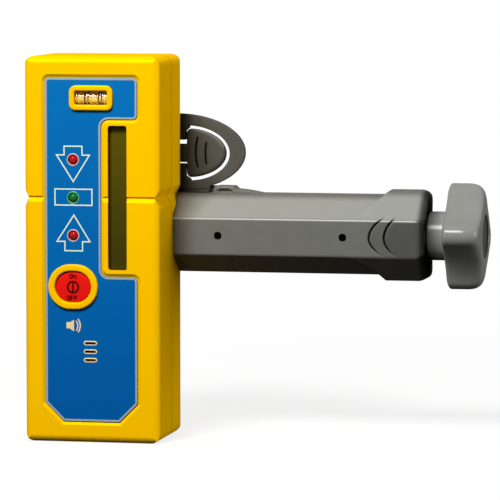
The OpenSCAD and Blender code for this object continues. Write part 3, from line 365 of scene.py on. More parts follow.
# %% Floor
FLOOR_Z, FLOOR_R = cad_low[2], 6.0
FADE_FROM, FADE_TO, LEAST_GLOW = 0.15, 0.5, 0.8
# Matt white paper, lit so brightly that it burns out to plain white away from the object.
floor_finish = bpy.data.materials.new("matt_white_paper")
floor_finish.use_nodes = True
tree = floor_finish.node_tree
tree.nodes.remove(tree.nodes["Principled BSDF"])
where = add(tree, "ShaderNodeTexCoord").outputs["Object"]
away = add(tree, "ShaderNodeVectorMath", {0: where}, operation="LENGTH").outputs["Value"]
glow = add(tree, "ShaderNodeMapRange", {"Value": away, "From Min": FADE_FROM, "From Max": FADE_TO,
                                        "To Min": LEAST_GLOW, "To Max": 1.0})
paper = add(tree, "ShaderNodeBsdfDiffuse", {"Color": linear("#f4f4f2")})
white = add(tree, "ShaderNodeEmission", {"Color": WHITE, "Strength": 1.0})
shown = add(tree, "ShaderNodeMixShader", {0: glow.outputs[0], 1: paper.outputs[0], 2: white.outputs[0]})
dark = add(tree, "ShaderNodeBsdfDiffuse", {"Color": linear("#0a0a0a")})
both = add(tree, "ShaderNodeMixShader", {0: seen_directly(tree), 1: dark.outputs[0], 2: shown.outputs[0]})
tree.links.new(both.outputs[0], tree.nodes["Material Output"].inputs["Surface"])

floor_corners = [(x * FLOOR_R, y * FLOOR_R, FLOOR_Z) for x, y in ((-1, -1), (1, -1), (1, 1), (-1, 1))]
floor_mesh = bpy.data.meshes.new("floor")
floor_mesh.from_pydata(floor_corners, [], [(0, 1, 2, 3)])
floor_mesh.materials.append(floor_finish)
floor = bpy.data.objects.new("floor", floor_mesh)
bpy.context.scene.collection.objects.link(floor)
print("floor at", round(TO_MM * FLOOR_Z, 1), "mm")

# %% [markdown]
# ## Finishes
#
# Every moulded piece shows two things up close: the colour drifts a little over patches as wide as a
# finger, and the mould has left a fine grain that breaks up the gloss. One function writes that, and each
# real material gets its own colours, sizes and gloss. A real grain is too fine to show here, so it is drawn
# as wide as a pixel or two. Light and shade are also painted on some pieces: the mesh itself says how much
# painted highlight and how much painted shade each point gets.

# %% How a moulded finish is written
# Near-black colour of the painted shade in grooves, holes, gaps and corners in shadow.
PAINTED_SHADE_COLOUR = "#0c0c0a"


def moulded(name, colours, patch, rough, grain, relief, highlight_colour=None, **shader):
    """Finish whose colour drifts between two shades over patches of a size in mm, with a grain of a size in
    mm that moves the roughness between two values and dents the surface by the relief in mm. Where a
    highlight colour is given, it is painted on as far as the mesh's painted highlight says, and a near-black
    painted shade as far as the mesh's painted shade says."""
    finish = bpy.data.materials.new(name)
    finish.use_nodes = True
    tree = finish.node_tree
    skin = tree.nodes["Principled BSDF"]
    where = add(tree, "ShaderNodeTexCoord").outputs["Object"]
    drift = add(tree, "ShaderNodeTexNoise", {"Vector": where, "Scale": 1 / (patch * MM), "Detail": 3.0})
    shades = {0: drift.outputs["Fac"], 6: linear(colours[0]), 7: linear(colours[1])}
    colour = add(tree, "ShaderNodeMix", shades, data_type="RGBA")
    # Painted light: a highlight colour and a near-black painted shade, each mixed in as far as its mesh
    # attribute says.
    for attribute, shade in (("painted_highlight", highlight_colour), ("painted_shade", PAINTED_SHADE_COLOUR)) if highlight_colour else ():
        mark = add(tree, "ShaderNodeAttribute", attribute_name=attribute)
        shades = {0: mark.outputs["Fac"], 6: colour.outputs[2], 7: linear(shade)}
        colour = add(tree, "ShaderNodeMix", shades, data_type="RGBA")
    grit = add(tree, "ShaderNodeTexNoise", {"Vector": where, "Scale": 1 / (grain * MM), "Detail": 2.0})
    height = grit.outputs["Fac"]
    gloss = add(tree, "ShaderNodeMapRange", {"Value": height, "To Min": rough[0], "To Max": rough[1]})
    dents = add(tree, "ShaderNodeBump", {"Height": height, "Distance": relief * MM})
    tree.links.new(colour.outputs[2], skin.inputs["Base Color"])
    tree.links.new(gloss.outputs[0], skin.inputs["Roughness"])
    tree.links.new(dents.outputs[0], skin.inputs["Normal"])
    for socket, value in shader.items():
        skin.inputs[socket.replace("_", " ")].default_value = value
    return finish


print("grime is", PAINTED_SHADE_COLOUR)

# %% Finishes of the case and the clamp
# Satin moulded ABS: warm yellow, a soft gloss that catches the lamps on every rounded edge.
yellow_abs = moulded("yellow_abs_satin", ("#fdc400", "#f9bc00"), 22, (0.34, 0.44), 0.5, 0.006, Metallic=0.05,
                     Specular_IOR_Level=0.0, Specular_Tint=linear("#c06000"))
# Glass-filled nylon: grey with a dull sheen, a little speckled where fibres lie near the surface.
# Its pale grey is a painted highlight on the arm's upper edge and a painted sheen on its upper slant.
grey_nylon = moulded("grey_nylon_glass_filled", ("#72726c", "#6a6a65"), 6, (0.28, 0.38), 0.45, 0.008,
                     highlight_colour="#c4c6be", Metallic=0.05, Specular_IOR_Level=0.0, Specular_Tint=linear("#404040"))
# The same nylon in the darker mix used for the latch.
# Its pale grey is a painted highlight on the tab's upper rim.
dark_nylon = moulded("dark_nylon_moulded", ("#585852", "#4e4e48"), 6, (0.34, 0.46), 0.45, 0.012,
                     highlight_colour="#8c8c86", Metallic=0.05, Specular_IOR_Level=0.0, Specular_Tint=linear("#404040"))
# Knob nylon: lighter, and polished by hands, so its highlights are wider and brighter.
# Its pale grey would be a painted highlight, but the knob is given none.
knob_nylon = moulded("knob_nylon_polished", ("#8a8a86", "#81817d"), 8, (0.18, 0.24), 0.6, 0.005,
                     highlight_colour="#a4a4a0", Metallic=0.08, Specular_IOR_Level=0.0, Specular_Tint=linear("#404040"))
print("shell, arm, latch and knob:", [m.name for m in (yellow_abs, grey_nylon, dark_nylon, knob_nylon)])

# %% Finishes of the button, the lamps and the window
# Gloss moulded ABS in signal red, smooth from use.
red_abs = moulded("red_abs_gloss", ("#e81a10", "#dc140c"), 9, (0.26, 0.34), 0.4, 0.006, Metallic=0.08,
                  Specular_IOR_Level=0.05)
# Diffused epoxy lenses: deep colour with a wet gloss.
red_lens = moulded("red_lens_epoxy", ("#c40d14", "#8e060c"), 2.4, (0.08, 0.16), 0.6, 0.004,
                   Specular_IOR_Level=0.12)
green_lens = moulded("green_lens_epoxy", ("#0e7a35", "#06501f"), 2.4, (0.08, 0.16), 0.6, 0.004,
                     Specular_IOR_Level=0.12)
# Tinted acrylic that passes the laser's red and looks olive from outside.
dark_filter = moulded("tinted_acrylic_polished", ("#5c5004", "#4c4604"), 16, (0.14, 0.22), 1.2, 0.003,
                      IOR=1.49, Specular_IOR_Level=0.05)
print("front:", [m.name for m in (red_abs, red_lens, green_lens, dark_filter)])

# %% Finishes of the inner pieces and the metal
# White moulded ABS behind the level: bright and dull.
white_plastic = moulded("white_abs_moulded", ("#efeee6", "#e2e0d6"), 8, (0.40, 0.52), 0.4, 0.01, IOR=1.53)
# Black moulded nylon: nearly black, half glossy with a grain.
black_plastic = moulded("black_nylon_moulded", ("#26262a", "#1b1b1e"), 8, (0.36, 0.5), 0.4, 0.015, IOR=1.53)
# Painted shadow of the gap between the shells: dark brown, the yellow in shade, and dull.
seam_shadow_finish = moulded("painted_seam_shadow", ("#4a2e06", "#3a2404"), 5, (0.6, 0.8), 0.35, 0.02,
                      Specular_IOR_Level=0.1)
# Nitrile rubber: black and dull, with a coarse skin.
black_rubber = moulded("black_nitrile_rubber", ("#202022", "#161617"), 5, (0.62, 0.8), 0.35, 0.03, IOR=1.52)
# Solder mask: green lacquer with an even gloss, darker over the bare board.
circuit_board = moulded("green_solder_mask", ("#1f6b3a", "#17552d"), 3, (0.28, 0.4), 0.5, 0.02, IOR=1.55)
# Printed sleeve shrunk on to the battery: dark grey film, smooth and half glossy.
battery_sleeve = moulded("printed_battery_sleeve", ("#3a3a3e", "#2b2b30"), 7, (0.25, 0.34), 0.6, 0.006,
                         IOR=1.5)
# Zinc-plated steel and turned brass: bright, slightly clouded metal.
zinc_steel = moulded("zinc_plated_steel", ("#c3c6ca", "#aeb2b8"), 3, (0.24, 0.38), 0.3, 0.004, Metallic=1.0)
brass = moulded("turned_brass", ("#d2a850", "#bb9140"), 3, (0.2, 0.34), 0.3, 0.004, Metallic=1.0)
print("finishes so far", len(bpy.data.materials))

# %% [markdown]
# ## The label film
#
# The blue front is one sheet of printed film, textured on top so that it doesn't glare. Its blue is
# painted a little darker at the foot than at the head, as shade, and so is the olive of the window, which a
# blend with the height gives. The print on the film stands up by the thickness of the ink.

# %% Film and inks
LABEL_LOW, LABEL_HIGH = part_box("front_label")
FILTER_DARK, FILTER_LIGHT = -26, 30
# Polycarbonate film: deep blue, with a fine texture that leaves hardly any gloss.
blue_film = moulded("blue_polycarbonate_film", ("#0a6eb2", "#066aae"), 30, (0.44, 0.54), 0.4, 0.006,
                    Metallic=0.05, Specular_IOR_Level=0.01)


def shaded_below(finish, low, high, colour):
    """Mixes a finish with another colour below a height: all of it at the low end in mm, none at the high
    end."""
    tree = finish.node_tree
    base = tree.nodes["Principled BSDF"].inputs["Base Color"]
    where = add(tree, "ShaderNodeTexCoord").outputs["Object"]
    height = add(tree, "ShaderNodeSeparateXYZ", {0: where}).outputs["Z"]
    fall = add(tree, "ShaderNodeMapRange", {"Value": height, "From Min": low * MM, "From Max": high * MM})
    shades = {0: fall.outputs[0], 6: linear(colour), 7: base.links[0].from_socket}
    tree.links.new(add(tree, "ShaderNodeMix", shades, data_type="RGBA").outputs[2], base)


# Painted shade: the film and the window get darker towards their foot.
shaded_below(blue_film, TO_MM * LABEL_LOW[2], TO_MM * LABEL_HIGH[2], "#03579f")
shaded_below(dark_filter, FILTER_DARK, FILTER_LIGHT, "#383402")

# Screen inks: matt, thin and slightly uneven.
INK_SKIN = dict(patch=2, grain=0.3, relief=0.004)
silver_ink = moulded("silver_grey_ink", ("#a2adb2", "#949fa6"), rough=(0.4, 0.55), Specular_IOR_Level=0.1,
                     **INK_SKIN)
pale_ink = moulded("pale_green_white_ink", ("#ecf6d6", "#dcecc4"), rough=(0.45, 0.6), Specular_IOR_Level=0.1,
                   **INK_SKIN)
cream_ink = moulded("cream_ink", ("#f0dca4", "#e6cc8c"), rough=(0.45, 0.6), Specular_IOR_Level=0.1,
                    **INK_SKIN)
dark_red_ink = moulded("dark_red_ink", ("#4c0605", "#3c0404"), rough=(0.4, 0.55), Specular_IOR_Level=0.05,
                       **INK_SKIN)
black_ink = moulded("black_ink", ("#1c1a14", "#141210"), rough=(0.4, 0.55), Specular_IOR_Level=0.1,
                    **INK_SKIN)
print("film from", round(TO_MM * LABEL_LOW[2], 1), "to", round(TO_MM * LABEL_HIGH[2], 1), "mm")

# %% Finishes of the solids that keep their shape
KEPT = {
    yellow_abs: ("front_shell", "rear_shell", "battery_door"),
    blue_film: ("front_label",),
    dark_filter: ("window_filter",),
    white_plastic: ("vial_cradle",),
    grey_nylon: ("fixed_jaw", "sliding_jaw"),
    black_plastic: ("photodiodes", "sensor_headers", "processor_chip", "buzzer", "battery_snap",
                    "arm_end_cap", "switch_plunger"),
    dark_nylon: ("knob_cap",),
    black_rubber: ("case_gasket", "window_seal", "buzzer_gasket"),
    circuit_board: ("sensor_board", "main_board"),
    battery_sleeve: ("battery", "battery_leads"),
    brass: ("clamp_nut",),
    zinc_steel: ("case_screws", "board_screws", "power_switch", "door_hinge_pin", "fixed_jaw_screws",
                 "thrust_washer", "screw_clip", "knob_pin", "guard_screws", "latch_pin", "latch_spring"),
}
for finish, nodes in KEPT.items():
    for node in nodes:
        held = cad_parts[node].data.materials
        held.clear()
        held.append(finish)
print("finished solids", sum(len(n) for n in KEPT.values()))

# %% [markdown]
# ## Print on the label
#
# A silver line runs round the film's edge. Two outline arrows and a rectangle stand round the three lamps:
# they tell the user to move down, stop or move up. A small loudspeaker marks the sound slots. Text objects
# and curves could draw them, but here each line is a flat profile carried along a path, so its corners are
# true mitres and it keeps its width. Places on the front are measured from the case's lower left corner.

# %% Border of the label
CASE = np.array([-57.0, -95.3])
LABEL_Y = TO_MM * LABEL_LOW[1]
INK_BACK, INK_TOP = LABEL_Y + 0.03, LABEL_Y - 0.04
LABEL_LEFT, LABEL_RIGHT, LABEL_FOOT, LABEL_HEAD, LABEL_CUT = 8.3, 44.9, 8.3, 141.7, 7.2
COLUMN, COLUMN_FOOT, COLUMN_HEAD = 30.5, 64.7, 125.7
LABEL_R, COLUMN_R = 1.8, 3
BORDER_LINE = (-0.85, -0.12)


def flat_line(near, far):
    """Profile of a printed line between two offsets from its path."""
    return [(near, INK_BACK), (near, INK_TOP), (far, INK_TOP), (far, INK_BACK)]


def on_case(points):
    """Front view points in case millimetres, moved to the part's frame."""
    return np.asarray(points, float) + CASE


edge = [(LABEL_LEFT, LABEL_FOOT + LABEL_CUT), (LABEL_LEFT + LABEL_CUT, LABEL_FOOT),
        (LABEL_RIGHT - LABEL_CUT, LABEL_FOOT), (LABEL_RIGHT, LABEL_FOOT + LABEL_CUT),
        (LABEL_RIGHT, COLUMN_FOOT), (COLUMN, COLUMN_FOOT), (COLUMN, COLUMN_HEAD), (LABEL_RIGHT, COLUMN_HEAD),
        (LABEL_RIGHT, LABEL_HEAD), (LABEL_LEFT, LABEL_HEAD)]
edge_path = rounded_path(on_case(edge), [LABEL_R] * 5 + [COLUMN_R] * 2 + [LABEL_R] * 3)
piece("label_border", [carry(edge_path, flat_line(*BORDER_LINE))], silver_ink, "receiver")

# %% Arrows and stop sign
ARROW_LINE = (-0.42, 0.04)
down = [(15.8, 112.0), (12.6, 112.0), (19.6, 101.2), (26.4, 112.0), (23.3, 112.0), (23.3, 115.4),
        (15.8, 115.4)]
stop_sign = [(12.1, 92.2), (27.2, 92.2), (27.2, 98.8), (12.1, 98.8)]
up = [(16.0, 74.5), (23.4, 74.5), (23.4, 78.1), (26.5, 78.1), (19.8, 88.9), (12.7, 78.1), (16.0, 78.1)]
marks = [carry(on_case(m), flat_line(*ARROW_LINE)) for m in (down, stop_sign, up)]
piece("arrow_print", marks, pale_ink, "receiver")

# %% Loudspeaker and sound slots
WAVE_Z, WAVE_HALF = 45.6, 0.25
WAVES = ((20.6, 0.6, 1.9), (21.3, 0.9, 2.6))
SLOT_X, SLOT_ROWS, SLOT_HALF, SLOT_R = 26.2, (32.2, 35.5, 38.8), (2.2, 0.45), 0.449
BEAD_CROWN, BEAD_SIDE, SLOT_BEAD = 0.2, 0.1, (0.04, 0.4, 0.52, 0.16)


def filled(path):
    """Printed patch: the outline from the film up to the ink's top, closed by its middle on both sides."""
    return capped(np.stack([standing(path, y) for y in (INK_BACK, INK_TOP)])), False


def bead(near, shoulder, far, rise):
    """Profile of a raised ring, printed round the slots and a painted highlight round the lamps: up at the
    near offset, over a crown, down to the far offset.
    """
    side = LABEL_Y - BEAD_SIDE
    return [(near, INK_BACK), (near, side), (BEAD_CROWN, LABEL_Y - rise), (shoulder, side), (far, INK_BACK)]


horn = [(16.7, 44.5), (18.1, 44.5), (19.7, 43.3), (19.7, 47.8), (18.1, 46.9), (16.7, 46.9)]
sway = np.linspace(-1, 1, 13)
waves = [np.stack([x + bulge * (1 - sway ** 2), WAVE_Z + tall * sway], -1) for x, bulge, tall in WAVES]
icon = [filled(on_case(horn))]
icon += [carry(on_case(w), flat_line(-WAVE_HALF, WAVE_HALF), False) for w in waves]
piece("loudspeaker_print", icon, cream_ink, "receiver")

slot_paths = [on_case(box_round((SLOT_X, z), SLOT_HALF, SLOT_R)) for z in SLOT_ROWS]
rims = [carry(path, bead(*SLOT_BEAD)) for path in slot_paths]
piece("sound_slot_rims", rims, cream_ink, "receiver")

# %% [markdown]
# ## Bezels, button and lamps
#
# The case carries a raised oval ring round the power button and a raised frame round the level. On the real
# moulding their edges are fully rounded. A bevel on the CAD solid would catch other edges too, so a rounded
# profile is carried round each and covers the plain solid. The button itself is crowned like a cushion: its
# face falls slowly with the way out from the middle, and fast at the edge.

# %% Rounded bezels
FRONT_Y = -48.0
BUTTON_AT, VIAL_AT = (19.5, 60.7), (26.8, 133.9)
BEZEL_ROOT, BEZEL_RISE, BEZEL_R, ROOT_EDGE, BULGE = 1.0, 0.8, 0.68, 0.05, 0.2
# Each bezel has a middle, half the size and the corner radius of its opening, and a width.
BEZELS = {"button_bezel": (BUTTON_AT, (7.4, 6.25), 6.2, 2.3), "vial_bezel": (VIAL_AT, (6.65, 2.85), 0.8, 1.8)}


def bezel(path, width):
    """Rounded ring outside a path: a rectangle of the width and rise, grown by the bulge, with rounded top
    edges."""
    low, top = FRONT_Y + BEZEL_ROOT, FRONT_Y - BEZEL_RISE - BULGE
    ring = [(-BULGE, low), (-BULGE, top), (width + BULGE, top), (width + BULGE, low)]
    return carry(path, rounded_path(ring, [ROOT_EDGE, BEZEL_R, BEZEL_R, ROOT_EDGE]))


for name, (middle, half, r, width) in BEZELS.items():
    opening = on_case(box_round(middle, half, r))
    piece(name, [bezel(opening, width)], yellow_abs, "receiver")

# %% Power button
BUTTON = on_case(BUTTON_AT)
BUTTON_TOP = FRONT_Y - 0.4
BUTTON_HALF, BUTTON_R, FLANGE = np.array([7.1, 5.95]), 5.9, 1.2
FLANGE_Y, FLANGE_BACK, STEM_Y, STEM_R = FRONT_Y + 2.5, FRONT_Y + 4.0, FRONT_Y + 3.5, 2.5
ROLL, ROLL_DEEP, ROLL_SHARES = 0.93, 0.5, [0.955, 0.975, 0.99, 1.0]
FACE_FALL, EDGE_FALL = 0.25, 0.2


def button_crown(x, z):
    """Depth of the button's face: it grows with the square of the oval distance from the middle, and near
    the edge with its eighth power."""
    out = ((x - BUTTON[0]) / BUTTON_HALF[0]) ** 2 + ((z - BUTTON[1]) / BUTTON_HALF[1]) ** 2
    return BUTTON_TOP + FACE_FALL * out + EDGE_FALL * out ** 4


button_path = box_round(BUTTON, BUTTON_HALF, BUTTON_R)
spread = np.concatenate([np.linspace(0, ROLL, 14), ROLL_SHARES])
face = BUTTON + spread[:, None, None] * (button_path - BUTTON)
deep = button_crown(face[..., 0], face[..., 1])
deep += ROLL_DEEP * smooth((spread[:, None] - ROLL) / (1 - ROLL)) ** 2
flange = box_round(BUTTON, BUTTON_HALF + FLANGE, BUTTON_R + FLANGE)
rest = [(button_path, FLANGE_Y), (flange, FLANGE_Y), (flange, FLANGE_BACK),
        (np.broadcast_to(BUTTON, flange.shape), FLANGE_BACK)]
cushion = np.concatenate([standing(face, deep), np.stack([standing(path, y) for path, y in rest])])
stem = rod(STEM_R, STEM_Y, TO_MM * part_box("power_button")[1][1], BUTTON, 1, 24)
piece("power_button_crowned", [(cushion, False), stem], red_abs, "button", ("power_button",))

# %% ON, OFF and the switch sign
LETTER_HIGH, LETTER_HALF, SIGN_HALF = 1.5, 0.21, 0.36
WIDE_SHARE, GAP_SHARE, ON_AT, OFF_AT = 0.72, 0.28, (18.0, 64.05), (17.2, 55.65)
SIGN_X, SIGN_Z, SIGN_R, BAR_LOW, BAR_HIGH = 19.5, 60.6, 2.15, 58.9, 62.3
SIGN_SUNK, SIGN_RISE = 0.06, -0.05
ring_path = np.stack([np.cos(full_turn(28)), np.sin(full_turn(28))], -1)


def letter_lines(word, left, base, height):
    """Strokes of the letters O, N and F in a box as high as given: each is a path and whether it closes."""
    w, gap = WIDE_SHARE * height, GAP_SHARE * height
    shapes = {"O": [(0.5 + 0.5 * ring_path, True)],
              "N": [(np.array([(0, 0), (0, 1), (1, 0), (1, 1)], float), False)],
              "F": [(np.array([(0, 0), (0, 1), (0.95, 1)], float), False),
                    (np.array([(0, 0.5), (0.8, 0.5)], float), False)]}
    return [(np.array([left + k * (w + gap), base]) + s * np.array([w, height]), c)
            for k, letter in enumerate(word) for s, c in shapes[letter]]


words = letter_lines("ON", *ON_AT, LETTER_HIGH) + letter_lines("OFF", *OFF_AT, LETTER_HIGH)
switch_sign = [(np.array([SIGN_X, SIGN_Z]) + SIGN_R * ring_path, True),
               (np.array([(SIGN_X, BAR_LOW), (SIGN_X, BAR_HIGH)]), False)]
signs = []
for strokes, half in ((words, LETTER_HALF), (switch_sign, SIGN_HALF)):
    for path, closed in strokes:
        line = [(-half, SIGN_SUNK), (-half, SIGN_RISE), (half, SIGN_RISE), (half, SIGN_SUNK)]
        grid, ring = carry(on_case(path), line, closed)
        grid[..., 1] += button_crown(grid[..., 0], grid[..., 2])
        signs.append((grid, ring))
piece("button_print", signs, dark_red_ink, "button")

# %% Indicator lamps
LAMP_X, LENS_R, LENS_RISE, FOOT_R = 19.5, 2, 0.3, 2.3
FOOT_Y, FOOT_BACK, LEG_Y, LEG_BACK = FRONT_Y + 5.2, FRONT_Y + 6.2, FRONT_Y + 6.0, FRONT_Y + 9.0
LEG_HALF, LEG_APART, LEG_R, LEG_EDGE = (0.25, 0.25), 1.27, 0.05, 0.02
LAMP_BEAD = (0.02, 0.42, 0.5, 0.18)
LAMPS = {"high_lamp": (110.0, "red_lens"), "on_grade_lamp": (95.3, "green_lens"),
         "low_lamp": (80.6, "red_lens")}
# Painted highlights on the lenses' rims: a pale ring in each lens's colour, half glossy.
pink_rim_highlight = moulded("painted_pink_rim_highlight", ("#d8a8a8", "#c89898"), rough=(0.3, 0.45), **INK_SKIN)
green_rim_highlight = moulded("painted_green_rim_highlight", ("#3fae6a", "#2f9a58"), rough=(0.3, 0.45), **INK_SKIN)
LAMP_FINISHES = {"red_lens": (red_lens, pink_rim_highlight), "green_lens": (green_lens, green_rim_highlight)}

bow = quarter_turn(12)
dome = np.stack([LENS_R * np.sin(bow), FRONT_Y - LENS_RISE + LENS_R * (1 - np.cos(bow))], -1)
foot = [(LENS_R, FOOT_Y), (FOOT_R, FOOT_Y), (FOOT_R, FOOT_BACK), (0, FOOT_BACK)]
for name, (z, slot) in LAMPS.items():
    at = on_case((LAMP_X, z))
    lens_body = turned(np.concatenate([dome, foot]), at, 1, 40)
    legs = [prism(box_round(at + np.array([s, 0]), LEG_HALF, LEG_R), LEG_Y, LEG_BACK, LEG_EDGE, (0, 2, 1))
            for s in (-LEG_APART, LEG_APART)]
    lens_finish, ring_finish = LAMP_FINISHES[slot]
    piece(name + "_lens", [lens_body] + legs, lens_finish, "receiver", (name,))
    # Painted highlight: a pale raised ring in the lens's colour stands for its lit rim.
    ring = carry(at + LENS_R * ring_path, bead(*LAMP_BEAD))
    piece(name + "_ring", [ring], ring_finish, "receiver")

# %% [markdown]
# ## The level vial
#
# A clear tube holds yellow spirit and carries black rings. The spirit is painted pale below, as light
# that the tube gathers like a lens, and brown above, as shade, and it is given a faint painted glow. A
# painted rod could show that from one side only, so the tube is a true transparent shell round the spirit,
# and its highlight is its own.

# %% Vial
# Clear cast acrylic: almost no colour and smooth as glass, so that it shows by its highlight.
clear_acrylic = moulded("clear_acrylic_tube", ("#fbf6dc", "#f6efc8"), 4, (0.02, 0.04), 1.0, 0.00005, IOR=1.49,
                        Transmission_Weight=1.0)
# Spirit: painted brown as shade, with a faint painted glow; its pale yellow below is painted light.
spirit = moulded("yellow_spirit", ("#a85f1c", "#8c4c10"), 2.2, (0.1, 0.2), 0.7, 0.002, IOR=1.36,
                 Emission_Color=linear("#d08a28"), Emission_Strength=0.16)
VIAL_X, VIAL_Z = on_case(VIAL_AT)
VIAL_AXIS = (FRONT_Y + 3.2, VIAL_Z)
TUBE_BORE, TUBE_R, TUBE_HALF, SPIRIT_R, SPIRIT_HALF, PLUG_FROM = 2.0, 2.7, 6.5, 1.95, 5.4, 5.5
VIAL_RINGS = ((-2.7, 0.17), (-1.4, 0.12), (2.8, 0.17), (4.0, 0.12))
RING_SUNK, RING_RISE, PALE_BELOW, BROWN_ABOVE = 0.02, 0.04, 0.1, 0.6
# Painted light: the spirit is pale yellow below and keeps its brown above, as shade.
shaded_below(spirit, VIAL_Z - PALE_BELOW, VIAL_Z + BROWN_ABOVE, "#ffe680")

tube = pipe(TUBE_BORE, TUBE_R, VIAL_X - TUBE_HALF, VIAL_X + TUBE_HALF, VIAL_AXIS, 0, 40)
piece("vial_clear_tube", [tube], clear_acrylic, "receiver", ("vial_tube",))
body = rod(SPIRIT_R, VIAL_X - SPIRIT_HALF, VIAL_X + SPIRIT_HALF, VIAL_AXIS, 0, 40)
piece("vial_spirit", [body], spirit, "receiver", ("vial_fluid",))
plugs = [rod(SPIRIT_R, VIAL_X + a, VIAL_X + b, VIAL_AXIS, 0, 32)
         for a, b in ((-TUBE_HALF, -PLUG_FROM), (PLUG_FROM, TUBE_HALF))]
piece("vial_end_plugs", plugs, spirit, "receiver", ("vial_plugs",))
rings = [pipe(TUBE_R - RING_SUNK, TUBE_R + RING_RISE, VIAL_X + x - half, VIAL_X + x + half, VIAL_AXIS, 0, 40)
         for x, half in VIAL_RINGS]
piece("vial_rings", rings, black_ink, "receiver")

# %% [markdown]
# ## The joint of the two shells
#
# The front and the rear shell meet in one plane round the case, and a thin dark line of shadow shows in
# the gap there. A dark brown strip a third of a millimetre wide is carried round the case's outline,
# through the notches at the on-grade line, as a painted shadow of that gap. It could be a groove in both
# shells.

# %% Seam shadow line
PART_Y, SEAM_HALF, SEAM_SUNK, SEAM_PROUD = -26.0, 0.17, -0.4, 0.02
CASE_RIGHT, CASE_HEAD, NOTCH_LOW, NOTCH_HIGH, NOTCH_DEEP = -3.4, 54.7, -4, 3.3, 1.9
CORNER_R, NOTCH_R = 4, 0.1
case_left, case_foot = CASE
right_side = [(CASE_RIGHT, case_foot), (CASE_RIGHT, NOTCH_LOW), (CASE_RIGHT - NOTCH_DEEP, 0),
              (CASE_RIGHT, NOTCH_HIGH), (CASE_RIGHT, CASE_HEAD)]
left_side = [(case_left, CASE_HEAD), (case_left, NOTCH_HIGH), (case_left + NOTCH_DEEP, 0),
             (case_left, NOTCH_LOW), (case_left, case_foot)]
side_radii = [CORNER_R, NOTCH_R, NOTCH_R, NOTCH_R, CORNER_R]
case_outline = rounded_path(right_side + left_side, side_radii * 2)
strip = [(SEAM_SUNK, PART_Y - SEAM_HALF), (SEAM_PROUD, PART_Y - SEAM_HALF), (SEAM_PROUD, PART_Y + SEAM_HALF),
         (SEAM_SUNK, PART_Y + SEAM_HALF)]
piece("seam_shadow_line", [carry(case_outline, strip)], seam_shadow_finish, "receiver")

# %% [markdown]
# ## The clamp arm
#
# The arm is a hollow nylon bar with a flat front, two long slanted faces and rounded edges; towards its
# outer end it swells into a collar along a curved line. It could be extruded and bevelled, but the
# swelling, the two curved grooves and the sight holes all change one outline along the bar, so the skin is
# one grid: outline points across, places along the bar down.

# %% Outline of the arm
ARM_Z, AXIS_Y = -15.4, -11.9
ARM_END, NUT_X, NUT_END, COLLAR_X = -49.0, 74.9, 88.4, 96.0
FACE_Y, FACE_TOP, FACE_LOW = -24.0, 6.3, -7.95
ARM_TOP, ARM_FOOT, SLANT_Y, GAP_HALF = 15.4, -15.6, -11.7, 4.5
BORE_BACK, BORE_FRONT, BORE_HALF = -3.4, -20.4, 7.5
OUTER = [(0, GAP_HALF), (0, ARM_TOP), (SLANT_Y, ARM_TOP), (FACE_Y, FACE_TOP), (FACE_Y, FACE_LOW),
         (SLANT_Y, ARM_FOOT), (0, ARM_FOOT), (0, -GAP_HALF)]
OUTER_R = [2.0, 16, 0.5, 1.4, 2.6, 2.0]
INNER = [(0, GAP_HALF), (BORE_BACK, GAP_HALF), (BORE_BACK, BORE_HALF), (BORE_FRONT, BORE_HALF),
         (BORE_FRONT, -BORE_HALF), (BORE_BACK, -BORE_HALF), (BORE_BACK, -GAP_HALF), (0, -GAP_HALF)]
ACROSS = 420
print("arm", round(ARM_TOP - ARM_FOOT, 1), "mm high and", -FACE_Y, "mm deep")

# %% Swelling, grooves and holes of the arm
SWELL_HEIGHTS, SWELL_STARTS = [7.0, 9.5, 12.7, 15.4], [62.6, 68.6, 74.6, 77.6]
SWELL_UP, SWELL_DOWN, SWELL_LONG, SWELL_EARLIER = 0.214, 0.3, 2.8, 1.2
GROOVES = ((74.33, -0.7, 0.084, 0.118), (80.23, -0.66, 0.064, 0.1))
GROOVE_HEAD, HEAD_FADE, GROOVE_FOOT, FOOT_FADE = 9.6, 4.0, -8.5, 6.0
GROOVE_THIN, GROOVE_WIDER, RUN_OUT, RUN_SHARE = 0.12, 0.22, 1.6, 0.25
HOLES, HOLE_Z, HOLE_R, HOLE_EDGE, HOLE_DEEP = (14.55, 64.0), -0.4, 1.5, 0.2, 3.3
SLANT_BACK, FACE_BACK, HOLE_BACK, SLANT_DEEPER = -12, -20, -18, 1.3


def swell(x, z):
    """Height of an outline point after the collar swells: beyond the front's edges each height grows by a
    share, over a step that starts further along the bar the further out the point lies, and a little
    earlier below."""
    start = np.interp(np.abs(z), SWELL_HEIGHTS, SWELL_STARTS) - SWELL_EARLIER * (z < 0)
    grow = SWELL_UP * np.maximum(z - FACE_TOP, 0) + SWELL_DOWN * np.minimum(z - FACE_LOW, 0)
    return z + grow * smooth((x - start) / SWELL_LONG)


def grooves(x, z):
    """Depth of the two curved grooves, from 0 to about 1: steep on one side and running out slowly on the
    other, along a parabola that opens towards the collar's end, and fading out at both ends."""
    depth = 0
    for apex, mid, open_up, open_down in GROOVES:
        rise = z - mid
        opening = np.where(rise > 0, open_up, open_down)
        off = (x - apex - opening * rise ** 2) / np.sqrt(1 + (2 * opening * rise) ** 2)
        fade = smooth((GROOVE_HEAD - rise) / HEAD_FADE) * smooth((rise - GROOVE_FOOT) / FOOT_FADE)
        steep = np.exp(-(off / (GROOVE_THIN + GROOVE_WIDER * fade)) ** 2)
        slow = (1 - RUN_SHARE) * steep + RUN_SHARE * np.exp(-off / RUN_OUT)
        depth = depth + fade * np.where(off < 0, steep, slow)
    return depth


